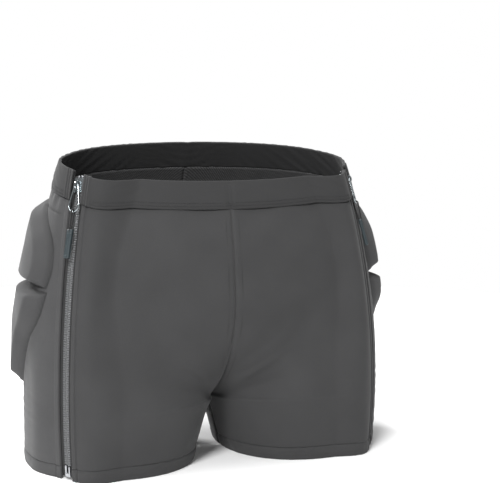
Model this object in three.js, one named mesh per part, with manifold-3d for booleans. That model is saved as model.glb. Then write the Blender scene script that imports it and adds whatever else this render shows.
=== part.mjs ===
// Padded impact shorts: stretch shorts with foam pads in pockets over the seat, tailbone, hips
// and thighs, and a full-length separating zip down each side. Sizes are in millimetres, +Z is
// up, +X is the wearer's left and -Y the wearer's front. The hems stand on Z = 0.
import * as THREE from 'three';
import { mergeVertices } from 'three/addons/utils/BufferGeometryUtils.js';
import Module from 'manifold-3d';

const wasm = await Module();
wasm.setup();

// ---- driving sizes of the body ----
const BACK_RISE = 340; // waist edge above the hems at the back seam
const FRONT_RISE = 304; // the same at the front seam
const CROTCH_HEIGHT = 68; // crotch point above the hems
const HEM_GAP = 44; // between the two legs at the hems
const HEM_HALF_WIDTH = 199.5; // middle plane to the outside of a leg at its hem
// half width, front depth and back depth at five even levels from the crotch to the waist
const HALF_WIDTHS = [199.5, 198, 191, 175.5, 153.5];
const FRONT_DEPTHS = [86.5, 90.5, 90.5, 82.5, 66.5];
const BACK_DEPTHS = [97.5, 99.5, 96.5, 83.5, 59.5];
const WIDEST_AT = [6, 2, 0, 0, 0]; // how far behind the middle the section is widest
const LEG_TOP = { middle: 6, front: 92.5, back: 95.5 }; // leg section at the crotch level
const LEG_HEM = { middle: 8, front: 88.5, back: 95.5 }; // leg section at the hem
const SQUARENESS = 2.25; // superellipse power: 2 is an ellipse, more is squarer
const SEAM_BLEND = 0.55; // level where the front and back seams have left the crotch
const SIDE_BLEND = 0.7; // level where the two legs have merged elsewhere
const CLEFT = { share: 0.945, from: 0.02, over: 0.1, bow: 1.5 }; // stretch across the cleft
const SEAM_POWER = 6; // how closely the seam's own blend keeps to the seam
const INSEAM_POWER = 0.85; // how fast the legs part below the crotch: 1 is evenly
const CROTCH_TURN = { power: 24, height: 0.05, down: 3 }; // where normals turn down at the crotch
const PULL_EDGE = 15; // the zip strip is exact this far to each side of its middle
const PULL_FADE = 45; // and fades into the body over this distance

// ---- layers: distances out from the body surface ----
const LINING = [0, 0.9];
const PANEL = [0.1, 1.6]; // front panels
const SKIN = [1.2, 2.6]; // back panels, over the lining
const BAND = [0.1, 3.5]; // waistband casing
const ELASTIC = [1.2, 2.4]; // waist elastic inside it
const HEM = [0.1, 2.9]; // folded leg hems
const TAPE = [-1.2, -0.3]; // zip tape, under the panel edges
const GAP = 0.3; // clearance between neighbours
const SEAM_INSET = 0.2; // each panel stops this far short of an inseam
const MIDDLE_INSET = 0.15; // and this far short of the middle plane
const POCKET_GAP = 0.6; // pad to its pocket
const SKIN_WALL = 1.2; // skin thickness over a pad

// ---- bands ----
const BAND_HEIGHT = 29;
const ELASTIC_INSET = 4; // elastic edge inside the casing edge
const ELASTIC_SHORT = 1; // each end of the elastic stops this far inside its casing
const HEM_HEIGHT = 14;

// ---- zip ----
const ZIP_TOP = new THREE.Vector2(147, -34); // plan position of the chain at the waist
const ZIP_PLANE = THREE.MathUtils.degToRad(45); // plan direction in which the zip runs outwards
const ZIP_FACE = THREE.MathUtils.degToRad(33); // plan direction that the chain faces at the waist
const ZIP_FLARE = 36; // how far out the chain is at the hem
const ZIP_BULGE = 15.5; // bow of the chain's arc from its chord
const ZIP_GIRTH = 0.372; // share of the half section from front seam to zip
const TEETH = { inner: 0.8, outer: 4, low: -2.2, high: 0.8 };
const TAPE_OUTER = TEETH.outer + 10;
const PANEL_EDGE = TEETH.outer + 4; // panel edges stop this far from the chain's middle
const STRIP_EDGE = TAPE_OUTER + 1; // the columns of a panel end here, before its own edge
const STOP_LENGTH = 2.4;
const STOP_PROUD = 0.7;
const BOX = { half: TEETH.outer - 0.1, length: 12, low: -3, high: 1.9, floor: 2.5 };
const PIN = { inner: 1.1, outer: TEETH.outer - 0.6, low: -1.8, high: 0.4 };
const PIN_MOUTH = 2; // the box's slot for the pin is cut this far past its top
const CHAIN_END = 3; // chain ends this far inside the hem and the waist edge

// ---- slider and pull ----
const RAIL = { inner: TEETH.outer + 0.65, outer: TEETH.outer + 1.95, short: 3 }; // side rails
const SLIDER = { length: 15, shoulder: 13.5, tail: RAIL.outer * 2 - 0.4, plate: 1.5 };
const SHOULDER_CORNER = { across: 2, along: 3 }; // rounding of the slider's shoulders
const RAIL_CLEARANCE = 0.4; // rail to tape, and plate to teeth
const WELD = 0.2; // pieces of one casting run this far into each other
const DIVIDER = { half: 0.5, length: 4.5, setBack: 0.4 };
const BRIDGE = { half: 1.2, length: 9, wall: 1.2 };
const PULL_HEIGHT = 4.8; // pull ring's middle above the chain's base surface
const RING = { wire: 0.8, top: 2.6, bottom: 6.7, between: 18.7 };
const LOOP = { wire: 0.8, top: RING.wire * 3, bottom: 1.2, between: 22, thickness: 1.8 };
const GRIP = { length: 30, width: 7.5, thickness: 4.4, overlap: 6, corner: 1.5 };

// ---- foam pads: outlines in rows from the bottom up. Each row has an inner, a middle and an
// outer point [angle round from the back seam in degrees, level], where level is 0 at the
// crotch, 1 at the waist edge and -1 at the hem. Thickness and edge slopes are in millimetres.
const PAD_AXIS_Y = -20; // upright axis that the angles are measured about
const PAD_COLUMNS = 6;
const PAD_ROWS = 7;
const MOST_SLOPE = 0.38; // a sloped side takes no more than this share of the pad's width
const PAD_FLOOR = -8; // pads start here and are trimmed back to the lining
const LINING_REACH = 24; // how deep the lining's trimming solid goes
const TRIM_OVERLAP = 0.05; // the two sides' trimming solids overlap at the middle plane
const PADS = {
  seat_pad: {
    thick: 13, wall: 3, slopes: { inner: 15, outer: 5, bottom: 8, top: 5 },
    rows: [
      [[19.5, 0.035], [23.5, 0.025], [28, 0.035]],
      [[15.2, 0.09], [24, 0.09], [33, 0.09]],
      [[15.4, 0.15], [26, 0.17], [36.8, 0.19]],
      [[20.8, 0.28], [31.6, 0.305], [42.5, 0.33]],
      [[24.8, 0.415], [35.6, 0.45], [46.6, 0.485]],
      [[26.2, 0.585], [37.2, 0.625], [48.2, 0.665]],
      [[28.6, 0.785], [38.4, 0.788], [48, 0.785]],
    ],
  },
  hip_pad_upper: {
    thick: 14.5, wall: 4, slopes: { inner: 14, outer: 8, bottom: 4, top: 12 },
    rows: [
      [[51, 0.492], [70, 0.502], [89, 0.522]],
      [[51.2, 0.565], [70.3, 0.585], [89.2, 0.605]],
      [[52.6, 0.67], [70, 0.69], [87, 0.71]],
      [[55.4, 0.785], [68, 0.805], [80, 0.82]],
    ],
  },
  hip_pad_lower: {
    thick: 14.5, wall: 4, slopes: { inner: 10, outer: 8, bottom: 10, top: 4 },
    rows: [
      [[41.5, 0.215], [57, 0.115], [76, 0.075]],
      [[45, 0.31], [65, 0.25], [83.5, 0.245]],
      [[48.6, 0.405], [69.2, 0.38], [88.6, 0.37]],
      [[50.2, 0.46], [70.2, 0.468], [89.4, 0.488]],
    ],
  },
  thigh_pad: {
    thick: 9, wall: 3, slopes: { inner: 8, outer: 8, bottom: 8, top: 6 },
    rows: [
      [[28.5, -0.13], [43, -0.42], [57.5, -0.19]],
      [[35, 0.005], [47.5, -0.13], [59.6, -0.08]],
      [[41, 0.16], [51, 0.085], [61, 0.015]],
    ],
  },
};
// The tailbone pad crosses the middle: half its angle at each level, from its tip up.
const TAILBONE_HALF = [
  [4.5, 0.125], [10.4, 0.18], [17.2, 0.29], [21.2, 0.415], [23.4, 0.585], [25.4, 0.785],
];
const TAILBONE = {
  thick: 14, wall: 3, slopes: { inner: 17, outer: 17, bottom: 14, top: 6 },
  rows: TAILBONE_HALF.map(([angle, level]) => [[-angle, level], [0, level], [angle, level]]),
};

// ---- small mathematics ----
const clamp = THREE.MathUtils.clamp;
const lerp = THREE.MathUtils.lerp;
const fade = (x) => THREE.MathUtils.smoothstep(x, 0, 1);
const HALVINGS = 30; // rounds of halving when a share is searched for
const signedPower = (value, power) => Math.sign(value) * Math.abs(value) ** power;
const vec = (x, y, z) => new THREE.Vector3(x, y, z);

// Catmull-Rom curve through values at even levels, with straight ends.
function station(values, level) {
  const last = values.length - 1;
  const at = (k) => {
    if (k < 0) return 2 * values[0] - values[1];
    if (k > last) return 2 * values[last] - values[last - 1];
    return values[k];
  };
  const x = clamp(level, 0, 1) * last;
  const k = Math.min(Math.floor(x), last - 1);
  const f = x - k;
  const [p0, p1, p2, p3] = [at(k - 1), at(k), at(k + 1), at(k + 2)];
  const bend = (2 * p0 - 5 * p1 + 4 * p2 - p3) * f * f + (3 * p1 - p0 - 3 * p2 + p3) * f ** 3;
  return 0.5 * (2 * p1 + (p2 - p0) * f + bend);
}

// ---- waist plane and zip arc ----
const FRONT_WAIST_Y = -FRONT_DEPTHS.at(-1);
const WAIST_TILT = (BACK_RISE - FRONT_RISE) / (BACK_DEPTHS.at(-1) - FRONT_WAIST_Y);
const WAIST_Z = FRONT_RISE - WAIST_TILT * FRONT_WAIST_Y;
const BAND_LEVEL = 1 - BAND_HEIGHT / ((BACK_RISE + FRONT_RISE) / 2 - CROTCH_HEIGHT);
const HEM_LEVEL = -1 + HEM_HEIGHT / CROTCH_HEIGHT;

// The chain lies on an arc in the upright plane through ZIP_TOP along RUN. The strip beside it
// is a cone about the arc's level axis, so that a slider can turn about that axis and stay on it.
const RUN = vec(Math.cos(ZIP_PLANE), -Math.sin(ZIP_PLANE), 0);
const BACKWARD = vec(Math.sin(ZIP_PLANE), Math.cos(ZIP_PLANE), 0);
const CONE = ZIP_PLANE - ZIP_FACE;
const ZIP_TOP_Z = WAIST_Z + WAIST_TILT * ZIP_TOP.y;
const CHORD = Math.hypot(ZIP_TOP_Z, ZIP_FLARE);
const ARC_RADIUS = CHORD ** 2 / (8 * ZIP_BULGE) + ZIP_BULGE / 2;
const ARC_R = ZIP_FLARE / 2 - (ZIP_TOP_Z / CHORD) * (ARC_RADIUS - ZIP_BULGE);
const ARC_Z = ZIP_TOP_Z / 2 - (ZIP_FLARE / CHORD) * (ARC_RADIUS - ZIP_BULGE);
const ARC_CENTRE = vec(ZIP_TOP.x, ZIP_TOP.y, 0).addScaledVector(RUN, ARC_R).setZ(ARC_Z);

function zipAxes(angle) {
  const radial = RUN.clone().multiplyScalar(Math.cos(angle)).setZ(Math.sin(angle));
  const side = BACKWARD.clone().multiplyScalar(Math.cos(CONE)).addScaledVector(radial, -Math.sin(CONE));
  const out = radial.clone().multiplyScalar(Math.cos(CONE)).addScaledVector(BACKWARD, Math.sin(CONE));
  return { radial, side, out };
}

// Point on the zip: arc angle, distance towards the back, distance outwards.
function zipPoint(angle, across, height) {
  const { radial, side, out } = zipAxes(angle);
  const point = ARC_CENTRE.clone().addScaledVector(radial, ARC_RADIUS);
  return point.addScaledVector(side, across).addScaledVector(out, height);
}

const angleAtHeight = (z) => Math.asin((z - ARC_Z) / ARC_RADIUS);
const angleOf = (length) => length / ARC_RADIUS;

// ---- body surface ----
// Plan section at girth share u (0 front seam or inseam, 1 back seam or inseam) and level. The
// cleft at the back seam is spanned by a shallow bow, which starts a little above the crotch.
function section(u, level) {
  const bridge = fade((level - CLEFT.from) / CLEFT.over);
  if (u <= CLEFT.share || bridge === 0) return rawSection(u, level);
  const [x, y] = rawSection(u, level);
  const [edgeX, edgeY] = rawSection(CLEFT.share, level);
  const part = (1 - u) / (1 - CLEFT.share);
  return [lerp(x, edgeX * part, bridge), lerp(y, edgeY + CLEFT.bow * (1 - part * part), bridge)];
}

function rawSection(u, level) {
  const t = clamp(level, 0, 1);
  const s = clamp(-level, 0, 1);
  const turn = Math.PI * (u - 0.5);
  const power = 2 / SQUARENESS;
  const half = station(HALF_WIDTHS, t);
  const widest = station(WIDEST_AT, t);
  const sine = signedPower(Math.sin(turn), power);
  const reach = sine < 0 ? -station(FRONT_DEPTHS, t) - widest : station(BACK_DEPTHS, t) - widest;
  const torso = [half * signedPower(Math.cos(turn), power), widest + Math.abs(sine) * reach];

  const outside = level < 0 ? lerp(HALF_WIDTHS[0], HEM_HALF_WIDTH, s) : half;
  const inside = (HEM_GAP / 2) * s ** INSEAM_POWER;
  const legSine = signedPower(Math.sin(2 * turn), power);
  const face = legSine < 0 ? 'front' : 'back';
  const legReach = lerp(LEG_TOP[face], LEG_HEM[face], s);
  const legCosine = signedPower(Math.cos(2 * turn), power);
  const leg = [
    (outside + inside) / 2 + ((outside - inside) / 2) * legCosine,
    lerp(LEG_TOP.middle, LEG_HEM.middle, s) + legReach * legSine,
  ];

  const q = clamp(t / SEAM_BLEND, 0, 1);
  const seamward = Math.abs(Math.sin(turn)) ** SEAM_POWER;
  const atSeam = 1 - Math.sqrt(q * (2 - q));
  const split = lerp(1 - fade(t / SIDE_BLEND), atSeam, seamward);
  const share = level <= 0 ? 1 : split;
  return [lerp(torso[0], leg[0], share), lerp(torso[1], leg[1], share)];
}

const heightAt = (y, level) =>
  level >= 0
    ? CROTCH_HEIGHT + level * (WAIST_Z + WAIST_TILT * y - CROTCH_HEIGHT)
    : CROTCH_HEIGHT * (1 + level);

function zipOffset(u, level) {
  const [x, y] = section(u, level);
  const [zipX, zipY] = section(ZIP_GIRTH, level);
  return Math.hypot(x - zipX, y - zipY) * Math.sign(u - ZIP_GIRTH);
}

const PULL_ROUNDS = 4;

// Body surface: the section, pulled on to the zip's cone beside the chain.
function surface(u, level) {
  const [x, y] = section(u, level);
  const across = zipOffset(u, level);
  const pull = 1 - fade((Math.abs(across) - PULL_EDGE) / PULL_FADE);
  const point = vec(x, y, heightAt(y, level));
  if (pull === 0) return point;
  for (let round = 0; round < PULL_ROUNDS; round += 1) {
    const arcZ = point.z + across * Math.sin(CONE) * ((point.z - ARC_Z) / ARC_RADIUS);
    const onZip = zipPoint(angleAtHeight(arcZ), across, 0);
    point.x = lerp(x, onZip.x, pull);
    point.y = lerp(y, onZip.y, pull);
    point.z = heightAt(point.y, level);
  }
  return point;
}

// Outward normal by differences. It points down at the crotch, and is level on the legs.
function normal(u, level) {
  const step = 0.004;
  const along = surface(Math.min(u + step, 1), level).sub(surface(Math.max(u - step, 0), level));
  const up = surface(u, Math.min(level + step, 1)).sub(surface(u, Math.max(level - step, -1)));
  const out = along.cross(up).normalize();
  const nearSeam = Math.abs(Math.cos(Math.PI * u)) ** CROTCH_TURN.power;
  const nearCrotch = Math.exp(-((level / CROTCH_TURN.height) ** 2)) * nearSeam;
  out.z -= CROTCH_TURN.down * nearCrotch;
  if (level < 0) out.z *= nearCrotch;
  if (level > 0 && (u === 0 || u === 1)) out.x = 0;
  return out.normalize();
}

const onBody = (u, level, out) => surface(u, level).addScaledVector(normal(u, level), out);

const STRIP_SHARE = 0.2; // no edge beside the zip is further from it than this girth share

// Girth share where a panel edge lies beside the zip, on the front (-1) or back (+1) side.
function edgeShare(level, side, distance = PANEL_EDGE) {
  let near = ZIP_GIRTH;
  let far = ZIP_GIRTH + side * STRIP_SHARE;
  for (let k = 0; k < HALVINGS; k += 1) {
    const middle = (near + far) / 2;
    if (Math.abs(zipOffset(middle, level)) < distance) near = middle;
    else far = middle;
  }
  return (near + far) / 2;
}

const SHARE_STEP = 0.0005;

// Girth share a small distance from the seam, so that front and back stay apart at the inseam.
function seamShare(level, seam) {
  if (level > 0) return seam;
  const start = surface(seam, level);
  let share = 0;
  while (surface(Math.abs(seam - share), level).distanceTo(start) < SEAM_INSET) {
    share += SHARE_STEP;
  }
  return Math.abs(seam - share);
}

// ---- solids ----
function toGeometry(positions, indices) {
  const geometry = new THREE.BufferGeometry();
  geometry.setAttribute('position', new THREE.Float32BufferAttribute(positions, 3));
  geometry.setIndex(indices);
  return geometry;
}

function toManifold(geometry) {
  const bare = geometry.clone();
  for (const name of Object.keys(bare.attributes)) {
    if (name !== 'position') bare.deleteAttribute(name);
  }
  const merged = mergeVertices(bare, 1e-4);
  const mesh = new wasm.Mesh({
    numProp: 3,
    vertProperties: new Float32Array(merged.attributes.position.array),
    triVerts: new Uint32Array(merged.index.array),
  });
  mesh.merge();
  return new wasm.Manifold(mesh);
}

function fromManifold(solid) {
  const mesh = solid.getMesh();
  return toGeometry(Array.from(mesh.vertProperties), Array.from(mesh.triVerts));
}

// Closed solid between two sheets given on one grid: at(i, j, side), side 0 inside, 1 outside.
function slab(columns, rows, at) {
  const positions = [];
  const index = (i, j, side) => (side * rows + j) * columns + i;
  for (const side of [0, 1]) {
    for (let j = 0; j < rows; j += 1) {
      for (let i = 0; i < columns; i += 1) positions.push(...at(i, j, side).toArray());
    }
  }
  const faces = [];
  const quad = (a, b, c, d) => faces.push(a, b, c, a, c, d);
  const [endColumn, endRow] = [columns - 1, rows - 1];
  for (let j = 0; j < endRow; j += 1) {
    for (let i = 0; i < endColumn; i += 1) {
      quad(index(i, j, 1), index(i + 1, j, 1), index(i + 1, j + 1, 1), index(i, j + 1, 1));
      quad(index(i, j, 0), index(i, j + 1, 0), index(i + 1, j + 1, 0), index(i + 1, j, 0));
    }
  }
  for (let i = 0; i < endColumn; i += 1) {
    const k = i + 1;
    quad(index(i, 0, 0), index(k, 0, 0), index(k, 0, 1), index(i, 0, 1));
    quad(index(k, endRow, 0), index(i, endRow, 0), index(i, endRow, 1), index(k, endRow, 1));
  }
  for (let j = 0; j < endRow; j += 1) {
    const k = j + 1;
    quad(index(0, k, 0), index(0, j, 0), index(0, j, 1), index(0, k, 1));
    quad(index(endColumn, j, 0), index(endColumn, k, 0), index(endColumn, k, 1), index(endColumn, j, 1));
  }
  return outward(toGeometry(positions, faces));
}

function signedVolume(geometry) {
  const { position } = geometry.attributes;
  const order = geometry.index.array;
  const [a, b, c] = [vec(), vec(), vec()];
  let sum = 0;
  for (let k = 0; k < order.length; k += 3) {
    a.fromBufferAttribute(position, order[k]);
    b.fromBufferAttribute(position, order[k + 1]);
    c.fromBufferAttribute(position, order[k + 2]);
    sum += a.dot(b.cross(c)) / 6;
  }
  return sum;
}

function outward(geometry) {
  if (signedVolume(geometry) < 0) geometry.index.array.reverse();
  return geometry;
}

function mirrored(geometry) {
  const copy = geometry.clone();
  copy.scale(-1, 1, 1);
  copy.index.array.reverse();
  return copy;
}

// Everything on the wearer's right of the middle plane.
const ROOM = { width: 400, depth: 800, height: 1200 };
const halfRoom = new THREE.BoxGeometry(ROOM.width, ROOM.depth, ROOM.height);
const HALF_SPACE = toManifold(halfRoom.translate(MIDDLE_INSET - ROOM.width / 2, 0, 0));
const keepLeft = (geometry) => fromManifold(toManifold(geometry).subtract(HALF_SPACE));

// ---- panels ----
const PANEL_LEVELS = [0, 0.035, 0.1, 0.22, 0.38, 0.55, 0.72];
const levelGap = (from, toward) => from + Math.sign(toward - from) * (GAP / CROTCH_HEIGHT);

// Girth shares at one level from the seam (share 0 of `columns`) to the zip (share 1). A last
// one, where `strip` asks for it, is the panel's own edge on the zip tape.
function girthShares(level, side, columns, strip, reach = 0) {
  const seam = seamShare(level, side < 0 ? 0 : 1);
  const beside = edgeShare(level, side, STRIP_EDGE);
  const shares = columns.map((column) => lerp(seam, beside, column));
  return strip ? [...shares, edgeShare(level, side, PANEL_EDGE - reach)] : shares;
}

// Panel from a seam to the zip. Side -1 is the front and +1 the back.
function panel(levels, columns, side, layer, strip = true) {
  const shares = levels.map((level) => girthShares(level, side, columns, strip));
  const at = (i, j, face) => onBody(shares[j][i], levels[j], layer[face]);
  return slab(shares[0].length, levels.length, at);
}

const FRONT_COLUMNS = [0, 0.09, 0.22, 0.38, 0.54, 0.68, 0.8, 0.9, 1];
const BACK_COLUMNS = [0, 0.1, 0.21, 0.33, 0.45, 0.56, 0.65, 0.74, 0.83, 0.92, 1];
const LEG_LEVELS = [levelGap(HEM_LEVEL, 0), -0.45, -0.1];
const SIDE_LEVELS = [...LEG_LEVELS, ...PANEL_LEVELS, levelGap(BAND_LEVEL, 0)];
const HEM_LEVELS = [-1, HEM_LEVEL];

const BAND_COLUMNS = [0, 0.16, 0.32, 0.48, 0.64, 0.78, 0.9, 1];

// Band round the waist's front or back, from one zip to the other. It is inset at its two long
// edges, and reaches past its ends by `reach`.
function waistPiece(side, layer, inset, reach) {
  const drop = inset / (BACK_RISE - CROTCH_HEIGHT);
  const levels = [BAND_LEVEL + drop, 1 - drop];
  const shares = levels.map((level) => girthShares(level, side, BAND_COLUMNS, true, reach));
  const half = shares[0].map((share, k) => k);
  const columns = [...half.slice(1).reverse().map((k) => [-1, k]), ...half.map((k) => [1, k])];
  return slab(columns.length, levels.length, (i, j, face) => {
    const [mirror, k] = columns[i];
    const point = onBody(shares[j][k], levels[j], layer[face]);
    return point.setX(k === 0 ? 0 : point.x * mirror);
  });
}

// Casing with a tunnel for the elastic, open at the zips.
function casing(side) {
  const layer = [ELASTIC[0] - GAP, ELASTIC[1] + GAP];
  const tunnel = waistPiece(side, layer, ELASTIC_INSET - GAP, ELASTIC_SHORT);
  return fromManifold(toManifold(waistPiece(side, BAND, 0, 0)).subtract(toManifold(tunnel)));
}

const waistElastic = (side) => waistPiece(side, ELASTIC, ELASTIC_INSET, -ELASTIC_SHORT);

// ---- pads ----
const INSEAM_TURN = 0.88; // pads on a leg stay short of this girth share

function shareAtAngle(degrees, level) {
  let low = ZIP_GIRTH;
  let high = level < 0 ? INSEAM_TURN : 1;
  const wanted = THREE.MathUtils.degToRad(degrees);
  for (let k = 0; k < HALVINGS; k += 1) {
    const middle = (low + high) / 2;
    const [x, y] = section(middle, level);
    if (Math.atan2(x, y - PAD_AXIS_Y) > wanted) low = middle;
    else high = middle;
  }
  return (low + high) / 2;
}

// Point on the body at an angle round from the back seam; a negative angle is the other side.
function atAngle(degrees, level) {
  const point = surface(shareAtAngle(Math.abs(degrees), level), level);
  return degrees < 0 ? point.setX(-point.x) : point;
}

// Patch of the body under a pad: p runs from the inner to the outer edge, q from the bottom up.
function padPatch(pad) {
  const curves = [0, 1, 2].map((k) => {
    return new THREE.SplineCurve(pad.rows.map((row) => new THREE.Vector2(...row[k])));
  });
  const step = 0.02;
  const along = (curve, q) => {
    const inside = clamp(q, 0, 1);
    const point = curve.getPoint(inside);
    if (q === inside) return point;
    const near = curve.getPoint(Math.abs(inside - step));
    return point.add(point.clone().sub(near).multiplyScalar(Math.abs(q - inside) / step));
  };
  return (p, q) => {
    const [a, b, c] = curves.map((curve) => along(curve, q));
    const shares = [2 * (p - 0.5) * (p - 1), 4 * p * (1 - p), 2 * p * (p - 0.5)];
    const angle = a.x * shares[0] + b.x * shares[1] + c.x * shares[2];
    const level = a.y * shares[0] + b.y * shares[1] + c.y * shares[2];
    return atAngle(angle, level);
  };
}

// Foam pad with sloped sides. Growing it moves its sides and top out by that distance.
function padSolid(pad, grow) {
  const patch = padPatch(pad);
  const step = 0.01;
  const acrossLength = (p, q) => patch(p + step, q).distanceTo(patch(p - step, q)) / (2 * step);
  const alongLength = (p, q) => patch(p, q + step).distanceTo(patch(p, q - step)) / (2 * step);
  return slab(PAD_COLUMNS, PAD_ROWS, (i, j, side) => {
    const { inner, outer, bottom, top } = pad.slopes;
    const middleQ = j / (PAD_ROWS - 1);
    const width = acrossLength(0.5, middleQ);
    const length = alongLength(0.5, 0.5);
    const wider = grow / width;
    const near = Math.min(inner / width, MOST_SLOPE) - wider;
    const far = 1 - Math.min(outer / width, MOST_SLOPE) + wider;
    const third = (far - near) / 3;
    const p = [-wider, near, near + third, far - third, far, 1 + wider][i];
    const low = (bottom - grow) / length;
    const high = 1 - (top - grow) / length;
    let q = lerp(low, high, (j - 1) / (PAD_ROWS - 3));
    if (j === 0) q = -grow / length;
    if (j === PAD_ROWS - 1) q = 1 + grow / length;
    const rim = i === 0 || i === PAD_COLUMNS - 1 || j === 0 || j === PAD_ROWS - 1;
    const height = side === 0 ? PAD_FLOOR : (rim ? pad.wall : pad.thick) + grow;
    const point = patch(p, q);
    const up = patch(p, q + step).sub(patch(p, q - step));
    const across = patch(p + step, q).sub(patch(p - step, q));
    const out = up.cross(across).normalize();
    if (out.dot(vec(point.x, point.y - PAD_AXIS_Y, 0)) < 0) out.negate();
    return point.addScaledVector(out, height);
  });
}

const ALL_PADS = { ...PADS, tailbone_pad: TAILBONE };
const liningTrim = panel(SIDE_LEVELS, BACK_COLUMNS, 1, [-LINING_REACH, LINING[1] + GAP]);
const TRIM_LEFT = toManifold(liningTrim);
const TRIM_RIGHT = toManifold(mirrored(liningTrim));

// The part of a solid on the wearer's left, and its mirror image, as one solid.
function symmetric(solid) {
  const half = solid.subtract(HALF_SPACE.translate([-MIDDLE_INSET - TRIM_OVERLAP, 0, 0]));
  return half.add(half.mirror([1, 0, 0]));
}

function foam(pad) {
  let block = toManifold(padSolid(pad, 0));
  if (pad === TAILBONE) block = symmetric(block);
  const left = TRIM_LEFT.translate([-TRIM_OVERLAP, 0, 0]);
  const right = TRIM_RIGHT.translate([TRIM_OVERLAP, 0, 0]);
  return fromManifold(block.subtract(left).subtract(right));
}

// Back panel: the stretch skin over the lining, raised over each pad and open behind it.
function backPanel() {
  const pads = Object.values(ALL_PADS);
  let skin = toManifold(panel(SIDE_LEVELS, BACK_COLUMNS, 1, SKIN));
  for (const pad of pads) skin = skin.add(toManifold(padSolid(pad, POCKET_GAP + SKIN_WALL)));
  for (const pad of pads) skin = skin.subtract(toManifold(padSolid(pad, POCKET_GAP)));
  return fromManifold(skin.subtract(TRIM_LEFT).subtract(HALF_SPACE));
}

// ---- zip pieces ----
const CHAIN_TOP = angleAtHeight(ZIP_TOP_Z - CHAIN_END);
const CHAIN_BOTTOM = angleAtHeight(CHAIN_END);
const BOX_TOP = CHAIN_BOTTOM + angleOf(BOX.length);
const STOP_BOTTOM = CHAIN_TOP - angleOf(STOP_LENGTH);
const TEETH_TOP = STOP_BOTTOM - angleOf(GAP);
const TEETH_BOTTOM = BOX_TOP + angleOf(GAP);
const STRIP_STEPS = 15;

function strip(acrossFrom, acrossTo, low, high, from, to, steps = STRIP_STEPS) {
  const across = [acrossFrom, acrossTo];
  const heights = [low, high];
  const at = (i, j, side) => zipPoint(lerp(from, to, j / steps), across[i], heights[side]);
  return slab(2, steps + 1, at);
}

const SIDES = { front: -1, back: 1 };

function zipTape(side) {
  return strip(side * (TEETH.outer + GAP), side * TAPE_OUTER, ...TAPE, CHAIN_BOTTOM, CHAIN_TOP);
}

function zipTeeth(side) {
  const [inner, outer] = [side * TEETH.inner, side * TEETH.outer];
  return strip(inner, outer, TEETH.low, TEETH.high, TEETH_BOTTOM, TEETH_TOP);
}

function topStop(side) {
  const [low, high] = [TEETH.low - STOP_PROUD, TEETH.high + STOP_PROUD];
  return strip(side * TEETH.inner, side * TEETH.outer, low, high, STOP_BOTTOM, CHAIN_TOP, 1);
}

function zipPin(grow) {
  const from = CHAIN_BOTTOM + angleOf(BOX.floor + GAP - grow);
  const to = grow > 0 ? BOX_TOP + angleOf(PIN_MOUTH) : BOX_TOP;
  return strip(-PIN.inner + grow, -PIN.outer - grow, PIN.low - grow, PIN.high + grow, from, to, 2);
}

function zipBox() {
  const block = strip(-BOX.half, BOX.half, BOX.low, BOX.high, CHAIN_BOTTOM, BOX_TOP, 2);
  return fromManifold(toManifold(block).subtract(toManifold(zipPin(GAP))));
}

// ---- slider and pull, in a local frame: X towards the front, Y down the zip, Z outwards ----
const SLIDER_ANGLE = STOP_BOTTOM - angleOf(GAP + SLIDER.length / 2);
const SLIDER_LOW_ANGLE = BOX_TOP + angleOf(GAP + SLIDER.length / 2);
const SLIDER_ORIGIN = zipPoint(SLIDER_ANGLE, 0, 0);
const sliderAxes = zipAxes(SLIDER_ANGLE);
const FORWARD = sliderAxes.side.clone().negate();
const DOWN = sliderAxes.out.clone().cross(FORWARD);
const SLIDER_FRAME = new THREE.Matrix4().makeBasis(FORWARD, DOWN, sliderAxes.out);
SLIDER_FRAME.setPosition(SLIDER_ORIGIN);

const cuboid = (x0, x1, y0, y1, z0, z1) => {
  const box = new THREE.BoxGeometry(x1 - x0, y1 - y0, z1 - z0);
  return box.translate((x0 + x1) / 2, (y0 + y1) / 2, (z0 + z1) / 2);
};

const extrude = (shape, depth, segments = 6) =>
  new THREE.ExtrudeGeometry(shape, { depth, bevelEnabled: false, curveSegments: segments });

// Round-ended outline around two circles, the first at the origin, the second further along Y.
function roundedLink(path, firstRadius, secondRadius, between) {
  const lean = Math.asin((secondRadius - firstRadius) / between);
  path.absarc(0, 0, firstRadius, -(Math.PI - lean), -lean, false);
  path.absarc(0, between, secondRadius, -lean, Math.PI + lean, false);
  path.closePath();
  return path;
}

function wireLink({ wire, top, bottom, between }, depth) {
  const shape = roundedLink(new THREE.Shape(), top + wire, bottom + wire, between);
  shape.holes.push(roundedLink(new THREE.Path(), top - wire, bottom - wire, between));
  return extrude(shape, depth).translate(0, 0, -depth / 2);
}

function sliderPlate(from, to) {
  const half = SLIDER.length / 2;
  const { across, along } = SHOULDER_CORNER;
  const [wide, narrow] = [SLIDER.shoulder / 2, SLIDER.tail / 2];
  const shape = new THREE.Shape();
  shape.moveTo(across - wide, -half);
  shape.lineTo(wide - across, -half);
  shape.quadraticCurveTo(wide, -half, wide, along - half);
  shape.lineTo(narrow, half);
  shape.lineTo(-narrow, half);
  shape.lineTo(-wide, along - half);
  shape.quadraticCurveTo(-wide, -half, across - wide, -half);
  return toManifold(extrude(shape, to - from, 3).translate(0, 0, from));
}

const PLATE_LOW = TEETH.high + RAIL_CLEARANCE;
const PLATE_TOP = PLATE_LOW + SLIDER.plate;
const UNDER_TOP = TEETH.low - RAIL_CLEARANCE;

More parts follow.
